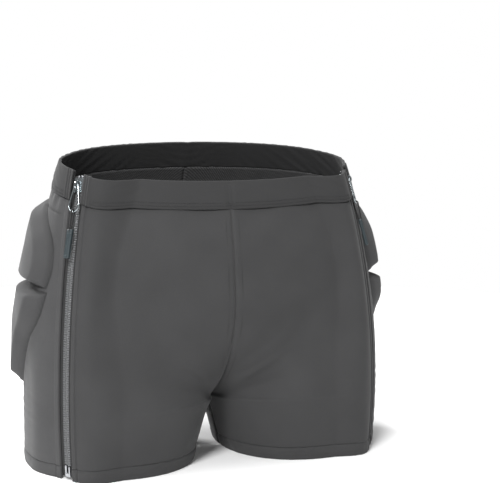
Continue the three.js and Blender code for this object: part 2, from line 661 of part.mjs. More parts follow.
function slider() {
  const half = SLIDER.length / 2;
  const railY = half - RAIL.short;
  const [weldTop, weldUnder] = [PLATE_LOW + WELD, UNDER_TOP - WELD];
  let body = sliderPlate(PLATE_LOW, PLATE_TOP);
  body = body.add(sliderPlate(UNDER_TOP - SLIDER.plate, UNDER_TOP));
  for (const side of [-1, 1]) {
    const [x0, x1] = side < 0 ? [-RAIL.outer, -RAIL.inner] : [RAIL.inner, RAIL.outer];
    const low = TAPE[0] - RAIL_CLEARANCE;
    const high = TAPE[1] + RAIL_CLEARANCE;
    body = body.add(toManifold(cuboid(x0, x1, -railY, railY, high, weldTop)));
    body = body.add(toManifold(cuboid(x0, x1, -railY, railY, weldUnder, low)));
  }
  const { half: thin, length, setBack } = DIVIDER;
  const start = setBack - half;
  const wedge = cuboid(-thin, thin, start, start + length, weldUnder, weldTop);
  return fromManifold(body.add(toManifold(wedge)).add(bridge()));
}

// Arch over the slider that holds the pull ring's top bar.
function bridge() {
  const { half, length, wall } = BRIDGE;
  const room = RING.wire * Math.SQRT2 + GAP;
  const top = PULL_HEIGHT + room + wall;
  const foot = PLATE_TOP - WELD;
  const shape = new THREE.Shape();
  shape.moveTo(-length / 2, foot);
  shape.lineTo(length / 2, foot);
  shape.quadraticCurveTo(length / 2, top, 0, top);
  shape.quadraticCurveTo(-length / 2, top, -length / 2, foot);
  const arch = extrude(shape, half * 2, 8).rotateY(Math.PI / 2).rotateX(Math.PI / 2);
  const solid = toManifold(arch.translate(-half, 0, 0));
  const eye = cuboid(-half * 2, half * 2, -room, room, PLATE_TOP, PULL_HEIGHT + room);
  return solid.subtract(toManifold(eye));
}

const RING_END = RING.top + RING.between + RING.bottom; // top bar to bottom bar

function pullRing() {
  return wireLink(RING, RING.wire * 2).translate(0, RING.top, PULL_HEIGHT);
}

const hangLoop = (link) => link.rotateY(Math.PI / 2).translate(0, RING_END, PULL_HEIGHT);

const pullLoop = () => hangLoop(wireLink(LOOP, LOOP.thickness));

// Room that the loop takes in the grip: its filled outline, grown by the clearance.
function loopRoom() {
  const { wire, top, bottom, between, thickness } = LOOP;
  const grown = wire + GAP;
  const outline = roundedLink(new THREE.Shape(), top + grown, bottom + grown, between);
  const depth = thickness + 2 * GAP;
  return hangLoop(extrude(outline, depth).translate(0, 0, -depth / 2));
}

const LOOP_END = RING_END + LOOP.between + LOOP.bottom + LOOP.wire;

function pullGrip() {
  const { length, width, thickness, overlap, corner } = GRIP;
  const shape = new THREE.Shape();
  const [x, y] = [width / 2, length];
  shape.moveTo(-x + corner, 0);
  shape.lineTo(x - corner, 0);
  shape.quadraticCurveTo(x, 0, x, corner);
  shape.lineTo(x, y - corner);
  shape.quadraticCurveTo(x, y, x - corner, y);
  shape.lineTo(-x + corner, y);
  shape.quadraticCurveTo(-x, y, -x, y - corner);
  shape.lineTo(-x, corner);
  shape.quadraticCurveTo(-x, 0, -x + corner, 0);
  const block = extrude(shape, thickness, 3);
  block.translate(0, LOOP_END - overlap, PULL_HEIGHT - thickness / 2);
  return fromManifold(toManifold(block).subtract(toManifold(loopRoom())));
}

const placed = (geometry) => fromManifold(toManifold(geometry.applyMatrix4(SLIDER_FRAME)));

// ---- materials ----
const material = (color, roughness, metalness = 0) => {
  return new THREE.MeshStandardMaterial({ color, roughness, metalness });
};
const SHELL = material(0x4b4b4d, 0.9);
const SIDE_SHELL = material(0x57585a, 0.9);
const WEBBING = material(0x3a3a3c, 0.9);
const MESH = material(0x2c2c2e, 0.95);
const FOAM = material(0x1f1f21, 0.95);
const TOOTH = material(0x8c9092, 0.5);
const CHROME = material(0xc8ccd0, 0.2, 1);
const RUBBER = material(0x3c4a50, 0.6);
const CORD = material(0x202224, 0.8);

// ---- assembly ----
const shorts = new THREE.Group();

function add(name, geometry, surfaceMaterial) {
  const mesh = new THREE.Mesh(geometry, surfaceMaterial);
  mesh.name = name;
  shorts.add(mesh);
}

function addPair(name, geometry, surfaceMaterial) {
  add(`${name}_left`, geometry, surfaceMaterial);
  add(`${name}_right`, mirrored(geometry), surfaceMaterial);
}

addPair('front_panel', keepLeft(panel(SIDE_LEVELS, FRONT_COLUMNS, -1, PANEL)), SHELL);
addPair('back_panel', backPanel(), SIDE_SHELL);
addPair('lining', keepLeft(panel(SIDE_LEVELS, BACK_COLUMNS, 1, LINING, false)), MESH);
addPair('leg_hem_front', panel(HEM_LEVELS, FRONT_COLUMNS, -1, HEM), SHELL);
addPair('leg_hem_back', panel(HEM_LEVELS, BACK_COLUMNS, 1, HEM), SIDE_SHELL);
for (const [name, side] of Object.entries(SIDES)) {
  add(`waistband_${name}`, casing(side), SHELL);
  add(`waist_elastic_${name}`, waistElastic(side), WEBBING);
}
add('tailbone_pad', foam(TAILBONE), FOAM);
for (const [name, pad] of Object.entries(PADS)) addPair(name, foam(pad), FOAM);
for (const [name, side] of Object.entries(SIDES)) {
  addPair(`zip_tape_${name}`, zipTape(side), WEBBING);
  addPair(`zip_teeth_${name}`, zipTeeth(side), TOOTH);
  addPair(`zip_top_stop_${name}`, topStop(side), TOOTH);
}
addPair('zip_box', zipBox(), CHROME);
addPair('zip_pin', zipPin(0), TOOTH);
addPair('zip_slider', placed(slider()), CHROME);
addPair('pull_ring', placed(pullRing()), CHROME);
addPair('pull_loop', placed(pullLoop()), CORD);
addPair('pull_grip', placed(pullGrip()), RUBBER);

// Stand the shorts with the middle of their depth on the origin.
const extent = new THREE.Box3().setFromObject(shorts);
shorts.position.y = -(extent.min.y + extent.max.y) / 2;

const REST_SHARE = 0.15; // girth share of the point on the front hem that the shorts rest on

// Joint axes of the wearer's left side, for whoever rigs the model.
const local = (x, y, z) => vec(x, y, z).applyMatrix4(SLIDER_FRAME).add(shorts.position).toArray();
shorts.userData.joints = {
  sliderCentre: ARC_CENTRE.clone().add(shorts.position).toArray(),
  sliderAxis: BACKWARD.toArray(),
  sliderTravelDegrees: THREE.MathUtils.radToDeg(SLIDER_ANGLE - SLIDER_LOW_ANGLE),
  ringCentre: local(0, 0, PULL_HEIGHT),
  gripCentre: local(0, RING_END, PULL_HEIGHT),
  pullAxis: sliderAxes.side.toArray(),
  restFace: onBody(REST_SHARE, -1, (HEM[0] + HEM[1]) / 2).add(shorts.position).toArray(),
};

export default shorts;
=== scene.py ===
"""Padded impact shorts: stretch skins over foam pads, a separating zip down each side, an elastic
waistband and folded leg hems. Sizes below are in millimetres, and pieces are made in metres."""
import math

import bmesh
import bpy
import numpy as np
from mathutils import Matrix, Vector


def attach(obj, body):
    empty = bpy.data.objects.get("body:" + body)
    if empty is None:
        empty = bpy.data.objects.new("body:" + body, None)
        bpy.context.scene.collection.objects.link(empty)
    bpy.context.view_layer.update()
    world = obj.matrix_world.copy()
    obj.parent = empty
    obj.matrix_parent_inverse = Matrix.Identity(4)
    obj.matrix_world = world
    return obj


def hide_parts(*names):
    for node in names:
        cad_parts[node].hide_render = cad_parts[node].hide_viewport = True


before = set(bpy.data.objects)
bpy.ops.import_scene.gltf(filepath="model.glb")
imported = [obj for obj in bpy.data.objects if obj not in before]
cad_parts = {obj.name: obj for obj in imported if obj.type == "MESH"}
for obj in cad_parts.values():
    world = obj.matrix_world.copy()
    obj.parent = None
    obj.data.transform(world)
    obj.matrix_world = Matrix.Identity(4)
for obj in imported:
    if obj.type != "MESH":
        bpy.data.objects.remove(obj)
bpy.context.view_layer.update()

MM = 0.001
DEPTH_SHIFT = -10.909  # the frame's Y = 0 lies this far from the middle that the sizes use

# ---- camera ----
CAMERA_TURN = math.radians(-20)
CAMERA_RISE = math.radians(9.3)
CAMERA_DISTANCE = 1.275
CAMERA_TARGET = Vector((0, DEPTH_SHIFT * MM, 0.17))

view = bpy.data.cameras.new("camera")
view.lens = 82.9
view.sensor_width = 36
view.shift_x = 0.088
view.shift_y = 0.115
view.clip_end = 50
camera = bpy.data.objects.new("camera", view)
bpy.context.scene.collection.objects.link(camera)
camera.location = CAMERA_TARGET + CAMERA_DISTANCE * Vector((
    math.sin(CAMERA_TURN) * math.cos(CAMERA_RISE),
    -math.cos(CAMERA_TURN) * math.cos(CAMERA_RISE),
    math.sin(CAMERA_RISE),
))
camera.rotation_euler = (math.pi / 2 - CAMERA_RISE, 0, CAMERA_TURN)
bpy.context.scene.camera = camera

# ---- sizes of the body, the same as the CAD's ----
BACK_RISE = 340.0
FRONT_RISE = 304.0
CROTCH_HEIGHT = 68.0
HEM_GAP = 44.0
HEM_HALF_WIDTH = 199.5
HALF_WIDTHS = [199.5, 198, 191, 175.5, 153.5]
FRONT_DEPTHS = [86.5, 90.5, 90.5, 82.5, 66.5]
BACK_DEPTHS = [97.5, 99.5, 96.5, 83.5, 59.5]
WIDEST_AT = [6, 2, 0, 0, 0]
LEG_MIDDLE = (6, 8)  # at the crotch, at the hem
LEG_FRONT = (92.5, 88.5)
LEG_BACK = (95.5, 95.5)
SQUARENESS = 2.25
SEAM_BLEND = 0.55
SIDE_BLEND = 0.7
CLEFT_SHARE, CLEFT_FROM, CLEFT_OVER, CLEFT_BOW = 0.945, 0.02, 0.1, 1.5
SEAM_POWER = 6  # how closely the seam's own blend keeps to the seam
INSEAM_POWER = 0.85  # how fast the legs part below the crotch
TURN_POWER, TURN_HEIGHT, TURN_DOWN = 24, 0.05, 3  # where normals turn down at the crotch
HALVINGS = 26  # rounds of halving when a share is searched for
STRIP_SHARE = 0.2  # no edge beside the zip is further from it than this girth share
INSEAM_TURN = 0.88  # pads on a leg stay short of this girth share
PULL_ROUNDS = 4
PULL_EDGE = 15.0
PULL_FADE = 45.0
BAND_HEIGHT = 29.0
HEM_HEIGHT = 14.0
ZIP_TOP = (147.0, -34.0)
ZIP_PLANE = math.radians(45)
CONE = ZIP_PLANE - math.radians(33)
ZIP_FLARE = 36.0
ZIP_BULGE = 15.5
ZIP_GIRTH = 0.372
PANEL_EDGE = 8.0
CHAIN_END = 3.0
PAD_AXIS_Y = -20.0

WAIST_TILT = (BACK_RISE - FRONT_RISE) / (BACK_DEPTHS[-1] + FRONT_DEPTHS[-1])
WAIST_Z = FRONT_RISE + WAIST_TILT * FRONT_DEPTHS[-1]
BAND_LEVEL = 1 - BAND_HEIGHT / ((BACK_RISE + FRONT_RISE) / 2 - CROTCH_HEIGHT)
HEM_LEVEL = -1 + HEM_HEIGHT / CROTCH_HEIGHT
BAND_LEVELS_PER_MM = (1 - BAND_LEVEL) / BAND_HEIGHT
HEM_LEVELS_PER_MM = 1 / CROTCH_HEIGHT

RUN = np.array([math.cos(ZIP_PLANE), -math.sin(ZIP_PLANE), 0])
BACKWARD = np.array([math.sin(ZIP_PLANE), math.cos(ZIP_PLANE), 0])
UP = np.array([0.0, 0, 1])
ZIP_TOP_Z = WAIST_Z + WAIST_TILT * ZIP_TOP[1]
CHORD = math.hypot(ZIP_TOP_Z, ZIP_FLARE)
ARC_RADIUS = CHORD ** 2 / (8 * ZIP_BULGE) + ZIP_BULGE / 2
ARC_R = ZIP_FLARE / 2 - (ZIP_TOP_Z / CHORD) * (ARC_RADIUS - ZIP_BULGE)
ARC_Z = ZIP_TOP_Z / 2 - (ZIP_FLARE / CHORD) * (ARC_RADIUS - ZIP_BULGE)
ARC_CENTRE = np.array([*ZIP_TOP, 0]) + RUN * ARC_R + UP * ARC_Z


# ---- small mathematics, all on whole arrays ----
def smooth(x):
    """Smooth step: 3x^2 - 2x^3 of x held between 0 and 1."""
    x = np.clip(x, 0, 1)
    return x * x * (3 - 2 * x)


def signed_power(value, power):
    """The value's size to a power, with its sign kept."""
    return np.sign(value) * np.abs(value) ** power


def rounded_ramp(t, radius):
    """t held between 0 and 1, averaged over +-radius, so that both corners are rounded."""
    area = lambda x: np.where(x < 0, 0, np.where(x < 1, x * x / 2, x - 0.5))
    return (area(t + radius) - area(t - radius)) / (2 * radius)


def unit(v):
    """Vectors divided by their lengths."""
    return v / np.maximum(np.linalg.norm(v, axis=-1, keepdims=True), 1e-12)


def spline(points, t):
    """Catmull-Rom curve through rows of points, t from 0 to 1 over even parts."""
    p = np.asarray(points, float)
    last = len(p) - 1
    x = np.clip(t, 0, 1) * last
    k = np.minimum(x.astype(int), last - 1)
    f = (x - k)[..., None]
    a, b = p[np.maximum(k - 1, 0)], p[k]
    c, d = p[k + 1], p[np.minimum(k + 2, last)]
    return 0.5 * (2 * b + (c - a) * f + (2 * a - 5 * b + 4 * c - d) * f ** 2
                  + (3 * b - a - 3 * c + d) * f ** 3)


def station(values, level):
    """Catmull-Rom through values at even levels from 0 to 1, with straight ends."""
    v = np.array([2 * values[0] - values[1], *values, 2 * values[-1] - values[-2]], float)
    x = np.clip(level, 0, 1) * (len(values) - 1)
    k = np.minimum(x.astype(int), len(values) - 2)
    f = x - k
    a, b, c, d = v[k], v[k + 1], v[k + 2], v[k + 3]
    return 0.5 * (2 * b + (c - a) * f + (2 * a - 5 * b + 4 * c - d) * f ** 2
                  + (3 * b - a - 3 * c + d) * f ** 3)


def carried_on(x, xs, ys):
    """Linear interpolation, carried on straight past both ends."""
    first = (ys[1] - ys[0]) / (xs[1] - xs[0])
    last = (ys[-1] - ys[-2]) / (xs[-1] - xs[-2])
    inside = np.interp(x, xs, ys)
    return inside + np.minimum(x - xs[0], 0) * first + np.maximum(x - xs[-1], 0) * last


def ripple(a, b, length_a, length_b, seed, count=7):
    """A sum of sine waves with drawn lengths and phases, about -1 to 1, over coordinates in mm."""
    draw = np.random.RandomState(seed)
    total = np.zeros(np.broadcast(a, b).shape)
    for _ in range(count):
        ka, kb = draw.uniform(0.6, 1.7) / length_a, draw.uniform(-1.4, 1.4) / length_b
        total = total + np.sin(2 * math.pi * (a * ka + b * kb) + draw.uniform(0, 6.3))
    return total / math.sqrt(count)


# ---- body surface: u runs 0 to 1 from the front seam or inseam to the back one; level is 0 at the
# crotch, 1 at the waist edge and -1 at the hem ----
def raw_section(u, level):
    """Torso half section, a superellipse, blended below into a leg section round both its sides."""
    t, s = np.clip(level, 0, 1), np.clip(-level, 0, 1)
    turn = math.pi * (u - 0.5)
    power = 2 / SQUARENESS
    half, widest = station(HALF_WIDTHS, t), station(WIDEST_AT, t)
    sine = signed_power(np.sin(turn), power)
    reach = np.where(sine < 0, -station(FRONT_DEPTHS, t) - widest, station(BACK_DEPTHS, t) - widest)
    torso_x = half * signed_power(np.cos(turn), power)
    torso_y = widest + np.abs(sine) * reach
    outside = np.where(level < 0, HALF_WIDTHS[0] + (HEM_HALF_WIDTH - HALF_WIDTHS[0]) * s, half)
    inside = HEM_GAP / 2 * s ** INSEAM_POWER
    leg_sine = signed_power(np.sin(2 * turn), power)
    leg_reach = np.where(
        leg_sine < 0,
        LEG_FRONT[0] + (LEG_FRONT[1] - LEG_FRONT[0]) * s,
        LEG_BACK[0] + (LEG_BACK[1] - LEG_BACK[0]) * s,
    )
    leg_x = (outside + inside) / 2 + (outside - inside) / 2 * signed_power(np.cos(2 * turn), power)
    leg_y = LEG_MIDDLE[0] + (LEG_MIDDLE[1] - LEG_MIDDLE[0]) * s + leg_reach * leg_sine
    q = np.clip(t / SEAM_BLEND, 0, 1)
    seamward = np.abs(np.sin(turn)) ** SEAM_POWER
    split = (1 - np.sqrt(q * (2 - q))) * seamward + (1 - smooth(t / SIDE_BLEND)) * (1 - seamward)
    share = np.where(level <= 0, 1.0, split)
    return torso_x + (leg_x - torso_x) * share, torso_y + (leg_y - torso_y) * share


def section(u, level):
    """The half section, with the cleft at the back seam spanned by a shallow bow."""
    x, y = raw_section(u, level)
    edge_x, edge_y = raw_section(np.full_like(u, CLEFT_SHARE), level)
    part = (1 - u) / (1 - CLEFT_SHARE)
    bridge = np.where(u > CLEFT_SHARE, smooth((level - CLEFT_FROM) / CLEFT_OVER), 0)
    return x + (edge_x * part - x) * bridge, y + (edge_y + CLEFT_BOW * (1 - part * part) - y) * bridge


def height_at(y, level):
    """Height on a level line: the waist plane leans, so it depends on y above the crotch."""
    above = CROTCH_HEIGHT + level * (WAIST_Z + WAIST_TILT * y - CROTCH_HEIGHT)
    return np.where(level >= 0, above, CROTCH_HEIGHT * (1 + level))


def zip_axes(angle):
    """Directions on the zip at an arc angle: radial, side (backwards) and out."""
    radial = np.cos(angle)[..., None] * RUN + np.sin(angle)[..., None] * UP
    side = BACKWARD * math.cos(CONE) - radial * math.sin(CONE)
    return radial, side, radial * math.cos(CONE) + BACKWARD * math.sin(CONE)


def zip_point(angle, across, height):
    """Point beside the chain: arc angle, distance towards the back, distance outwards."""
    angle, across, height = np.broadcast_arrays(angle, across, height)
    radial, side, out = zip_axes(angle)
    return ARC_CENTRE + radial * ARC_RADIUS + side * across[..., None] + out * height[..., None]


def angle_at_height(z):
    return np.arcsin((z - ARC_Z) / ARC_RADIUS)


def zip_offset(u, level):
    """Plan distance from the chain's middle, negative in front of it."""
    x, y = section(u, level)
    zip_x, zip_y = section(np.full_like(u, ZIP_GIRTH), level)
    return np.hypot(x - zip_x, y - zip_y) * np.sign(u - ZIP_GIRTH)


def body(u, level):
    """Body surface: the section at its height, pulled on to the zip's cone beside the chain."""
    u, level = np.broadcast_arrays(np.asarray(u, float), np.asarray(level, float))
    x, y = section(u, level)
    across = zip_offset(u, level)
    pull = 1 - smooth((np.abs(across) - PULL_EDGE) / PULL_FADE)
    px, py, pz = x, y, height_at(y, level)
    for _ in range(PULL_ROUNDS):
        arc_z = pz + across * math.sin(CONE) * ((pz - ARC_Z) / ARC_RADIUS)
        on_zip = zip_point(angle_at_height(arc_z), across, np.zeros_like(across))
        px = x + (on_zip[..., 0] - x) * pull
        py = y + (on_zip[..., 1] - y) * pull
        pz = height_at(py, level)
    return np.stack([px, py, pz], -1)


def body_normal(u, level):
    """Outward normal by differences, level on the legs and turned down at the crotch."""
    step = 0.004
    along = body(np.minimum(u + step, 1), level) - body(np.maximum(u - step, 0), level)
    up = body(u, np.minimum(level + step, 1)) - body(u, np.maximum(level - step, -1))
    out = unit(np.cross(along, up))
    near_seam = np.abs(np.cos(math.pi * u)) ** TURN_POWER
    near_crotch = np.exp(-((level / TURN_HEIGHT) ** 2)) * near_seam
    out[..., 2] -= TURN_DOWN * near_crotch
    out[..., 2] = np.where(level < 0, out[..., 2] * near_crotch, out[..., 2])
    at_middle = (level > 0) & ((u <= 0) | (u >= 1))
    out[..., 0] = np.where(at_middle, 0, out[..., 0])
    return unit(out)


def on_body(u, level, out):
    """Points a distance out from the body surface."""
    u, level, out = np.broadcast_arrays(u, level, out)
    return body(u, level) + body_normal(u, level) * out[..., None]


def edge_share(level, side, distance):
    """Girth share where a line lies this far in front of (side -1) or behind (+1) the chain."""
    near = np.full_like(level, ZIP_GIRTH)
    far = near + side * STRIP_SHARE
    for _ in range(HALVINGS):
        middle = (near + far) / 2
        short = np.abs(zip_offset(middle, level)) < distance
        near, far = np.where(short, middle, near), np.where(short, far, middle)
    return (near + far) / 2


SEAM_SHARE = 0.0012  # panels stop this share short of an inseam, and meet at the middle above it
STRIP = 18.0  # the closely divided strip beside a panel's edge


def girth_lines(level, side, main, strip, stop=PANEL_EDGE):
    """Shares for a row of columns from the seam to the zip, closer together in the last strip."""
    level = np.asarray(level, float)
    inset = np.where(level > 0, 0, SEAM_SHARE)
    seam = inset if side < 0 else 1 - inset
    inner, outer = edge_share(level, side, STRIP), edge_share(level, side, stop)
    a, b = np.linspace(0, 1, main)[None], np.linspace(0, 1, strip + 1)[None, 1:]
    seam, inner, outer = seam[:, None], inner[:, None], outer[:, None]
    return np.concatenate([seam + (inner - seam) * a, inner + (outer - inner) * b], 1)


# ---- meshes ----
def grid_faces(rows, columns):
    """Quads of a grid."""
    k = np.arange(rows * columns).reshape(rows, columns)
    return np.stack([k[:-1, :-1], k[:-1, 1:], k[1:, 1:], k[1:, :-1]], -1).reshape(-1, 4)


def slab(outer, inner):
    """Closed sheet between two grids of points, joined round their border."""
    rows, columns = outer.shape[:2]
    count = rows * columns
    k = np.arange(count).reshape(rows, columns)
    top = grid_faces(rows, columns)
    border = np.concatenate([k[0, :-1], k[:-1, -1], k[-1, :0:-1], k[:0:-1, 0]])
    following = np.roll(border, -1)
    rim = np.stack([following, border, border + count, following + count], -1)
    points = np.concatenate([outer.reshape(-1, 3), inner.reshape(-1, 3)])
    return points, np.concatenate([top, top[:, ::-1] + count, rim])


def tube(rings, closed=False):
    """Rings of points joined in order, round to the first, or with a fan over each end."""
    count, around = rings.shape[:2]
    k = np.arange(count * around).reshape(count, around)
    a, b = (k, np.roll(k, -1, 0)) if closed else (k[:-1], k[1:])
    quads = np.stack([a, np.roll(a, -1, 1), np.roll(b, -1, 1), b], -1).reshape(-1, 4)
    points = rings.reshape(-1, 3)
    if closed:
        return points, quads
    ends = np.stack([rings[0].mean(0), rings[-1].mean(0)])
    first, last = count * around, count * around + 1
    low = np.stack([np.roll(k[0], -1), k[0], np.full(around, first), np.full(around, first)], -1)
    high = np.stack([k[-1], np.roll(k[-1], -1), np.full(around, last), np.full(around, last)], -1)
    return np.concatenate([points, ends]), np.concatenate([quads, low, high])


def hollow_tube(outer, inner):
    """Tube with a tunnel: two sets of rings, joined by flat edges at both ends."""
    count, around = outer.shape[:2]
    k = np.arange(count * around).reshape(count, around)
    wall = lambda a, b: np.stack([a, np.roll(a, -1, 1), np.roll(b, -1, 1), b], -1).reshape(-1, 4)
    skin = wall(k[:-1], k[1:])
    tunnel = wall(k[:-1], k[1:])[:, ::-1] + count * around
    size = count * around
    low, high = k[:1], k[-1:]
    start = wall(low + size, low)
    finish = wall(high, high + size)
    points = np.concatenate([outer.reshape(-1, 3), inner.reshape(-1, 3)])
    return points, np.concatenate([skin, tunnel, start, finish])


def joined(*parts):
    """Several closed shapes as one list of points and one of faces."""
    points, faces, count = [], [], 0
    for part_points, part_faces in parts:
        points.append(part_points)
        faces.append(part_faces + count)
        count += len(part_points)
    return np.concatenate(points), np.concatenate(faces)


def repeated(shape, origins, axes):
    """A small shape placed at many origins, each with three axes given as rows."""
    points, faces = shape
    placed = origins[:, None] + np.einsum("nk,mkj->mnj", points, axes)
    offsets = np.arange(len(origins))[:, None, None] * len(points)
    return placed.reshape(-1, 3), (faces[None] + offsets).reshape(-1, 4)


def signed_volume(points, faces):
    """Six times the volume inside, positive where faces point outwards."""
    a, b, c, d = (points[faces[:, k]] for k in range(4))
    return np.einsum("ij,ij->", a, np.cross(b, c)) + np.einsum("ij,ij->", a, np.cross(c, d))


def piece(name, shape, body_name, material, replaces=(), uv=None, mirror=False):
    """Mesh object from points in mm and quads, some of which end in a doubled point (triangles)."""
    points, faces = shape
    if signed_volume(points, faces) < 0:
        faces = faces[:, ::-1]
    if mirror:
        points, faces = points * [-1, 1, 1], faces[:, ::-1]
    points = (points + [0, DEPTH_SHIFT, 0]) * MM
    mesh = bpy.data.meshes.new(name)
    polygons = [f if f[0] != f[3] and f[2] != f[3] and f[0] != f[1] else list(dict.fromkeys(f))
                for f in faces.tolist()]
    mesh.from_pydata(points.tolist(), [], polygons, shade_flat=False)
    if uv is not None:
        layer = mesh.uv_layers.new(name="UVMap")
        corner = np.zeros(len(mesh.loops), np.int32)
        mesh.loops.foreach_get("vertex_index", corner)
        layer.data.foreach_set("uv", uv[corner].astype(np.float32).ravel())
    thing = bpy.data.objects.new(name, mesh)
    bpy.context.scene.collection.objects.link(thing)
    mesh.materials.append(material)
    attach(thing, body_name)
    if replaces:
        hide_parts(*replaces)
    return thing


def both_sides(name, shape, body_name, material, replaces=(), uv=None):
    """The wearer's left piece and its mirror image. Names and bodies take _left and _right."""
    made = []
    for word, mirror in (("left", False), ("right", True)):
        rides_on = body_name if body_name == "garment" else f"{body_name}_{word}"
        nodes = [f"{node}_{word}" for node in replaces]
        made.append(piece(f"{name}_{word}", shape, rides_on, material, nodes, uv, mirror))
    return made


# ---- materials ----
class Nodes:
    """Short way to add nodes to one tree: an input is a number, a colour or another node's output."""

    def __init__(self, tree):
        self.tree = tree

    def add(self, kind, inputs=None, **settings):
        node = self.tree.nodes.new(kind)
        for key, value in settings.items():
            setattr(node, key, value)
        for key, value in (inputs or {}).items():
            if isinstance(value, bpy.types.NodeSocket):
                self.tree.links.new(value, node.inputs[key])
            else:
                node.inputs[key].default_value = value
        return node

    def math(self, operation, a, b=0.0):
        return self.add("ShaderNodeMath", {0: a, 1: b}, operation=operation).outputs[0]

    def blend(self, factor, a, b):
        node = self.add("ShaderNodeMix", data_type="RGBA")
        for key, value in ((0, factor), (6, a), (7, b)):
            if isinstance(value, bpy.types.NodeSocket):
                self.tree.links.new(value, node.inputs[key])
            else:
                node.inputs[key].default_value = value
        return node.outputs[2]


def group(name, inputs, outputs):
    """A shader node group with named number inputs, and its two ends."""
    tree = bpy.data.node_groups.new(name, "ShaderNodeTree")
    for label, kind, value in inputs:
        socket = tree.interface.new_socket(label, in_out="INPUT", socket_type=kind)
        if kind == "NodeSocketFloat":
            socket.default_value = value
    for label, kind in outputs:
        tree.interface.new_socket(label, in_out="OUTPUT", socket_type=kind)
    nodes = Nodes(tree)
    return tree, nodes, nodes.add("NodeGroupInput").outputs, nodes.add("NodeGroupOutput")


FLOAT, VECTOR = "NodeSocketFloat", "NodeSocketVector"


def make_weave_group():
    """Threads crossing in two directions: each height is a sine along one axis, the higher one
    lies on top, and the two are put out of step with each other over every other thread."""
    tree, n, given, end = group(
        "weave",
        [("Vector", VECTOR, None), ("Pitch A", FLOAT, 0.0006), ("Pitch B", FLOAT, 0.0006),
         ("Slant", FLOAT, 0.0)],
        [("Height", FLOAT), ("Gap Shade", FLOAT)],
    )
    place = n.add("ShaderNodeSeparateXYZ", {0: given["Vector"]}).outputs
    a = n.math("DIVIDE", place[0], given["Pitch A"])
    b = n.math("DIVIDE", place[1], given["Pitch B"])
    a = n.math("ADD", a, n.math("MULTIPLY", b, given["Slant"]))
    turn = 2 * math.pi
    wave_a = n.math("ABSOLUTE", n.math("SINE", n.math("MULTIPLY", a, turn / 2)))
    wave_b = n.math("ABSOLUTE", n.math("SINE", n.math("MULTIPLY", b, turn / 2)))
    over = n.math("MULTIPLY", n.math("SINE", n.math("MULTIPLY", a, turn / 4)),
                  n.math("SINE", n.math("MULTIPLY", b, turn / 4)))
    high = n.math("MAXIMUM", n.math("ADD", wave_a, n.math("MULTIPLY", over, 0.35)), wave_b)
    # gap mask, 0 between threads and 1 on their tops: it places the painted shade between threads
    gaps = n.math("MULTIPLY", wave_a, wave_b)
    n.tree.links.new(high, end.inputs["Height"])
    n.tree.links.new(gaps, end.inputs["Gap Shade"])
    return tree


def make_mottle_group():
    """Uneven shade: broad soft patches and a fine grain, each about 0 to 1 round a half."""
    tree, n, given, end = group(
        "mottle",
        [("Vector", VECTOR, None), ("Patch Scale", FLOAT, 25.0), ("Grain Scale", FLOAT, 1500.0)],
        [("Patches", FLOAT), ("Grain", FLOAT)],
    )
    patches = n.add("ShaderNodeTexNoise", {"Vector": given["Vector"], "Scale": given["Patch Scale"],
                                           "Detail": 3.0, "Roughness": 0.55})
    grain = n.add("ShaderNodeTexNoise", {"Vector": given["Vector"], "Scale": given["Grain Scale"],
                                         "Detail": 2.0, "Roughness": 0.6})
    n.tree.links.new(patches.outputs[0], end.inputs["Patches"])
    n.tree.links.new(grain.outputs[0], end.inputs["Grain"])
    return tree


def make_wear_group():
    """Rubbed edges: where the surface turns outwards sharply, broken up by noise."""
    tree, n, given, end = group(
        "edge_wear",
        [("Vector", VECTOR, None), ("Amount", FLOAT, 1.0), ("Break Scale", FLOAT, 900.0)],
        [("Mask", FLOAT)],
    )
    sharp = n.add("ShaderNodeNewGeometry").outputs["Pointiness"]
    edge = n.add("ShaderNodeMapRange", {0: sharp, 1: 0.52, 2: 0.62, 3: 0.0, 4: 1.0}).outputs[0]
    noise = n.add("ShaderNodeTexNoise", {"Vector": given["Vector"], "Scale": given["Break Scale"]})
    broken = n.math("MULTIPLY", edge, noise.outputs[0])
    n.tree.links.new(n.math("MULTIPLY", broken, given["Amount"]), end.inputs["Mask"])
    return tree


WEAVE, MOTTLE, WEAR = make_weave_group(), make_mottle_group(), make_wear_group()


def new_material(name):
    """Material with a Principled shader, and its node helper."""
    material = bpy.data.materials.new(name)
    material.use_nodes = True
    nodes = Nodes(material.node_tree)
    shader = material.node_tree.nodes["Principled BSDF"]
    return material, nodes, shader


def grouped(n, tree, inputs):
    """A group placed in a material."""
    return n.add("ShaderNodeGroup", inputs, node_tree=tree).outputs


def grey(value, tint=(1, 1, 1)):
    return (value * tint[0], value * tint[1], value * tint[2], 1)


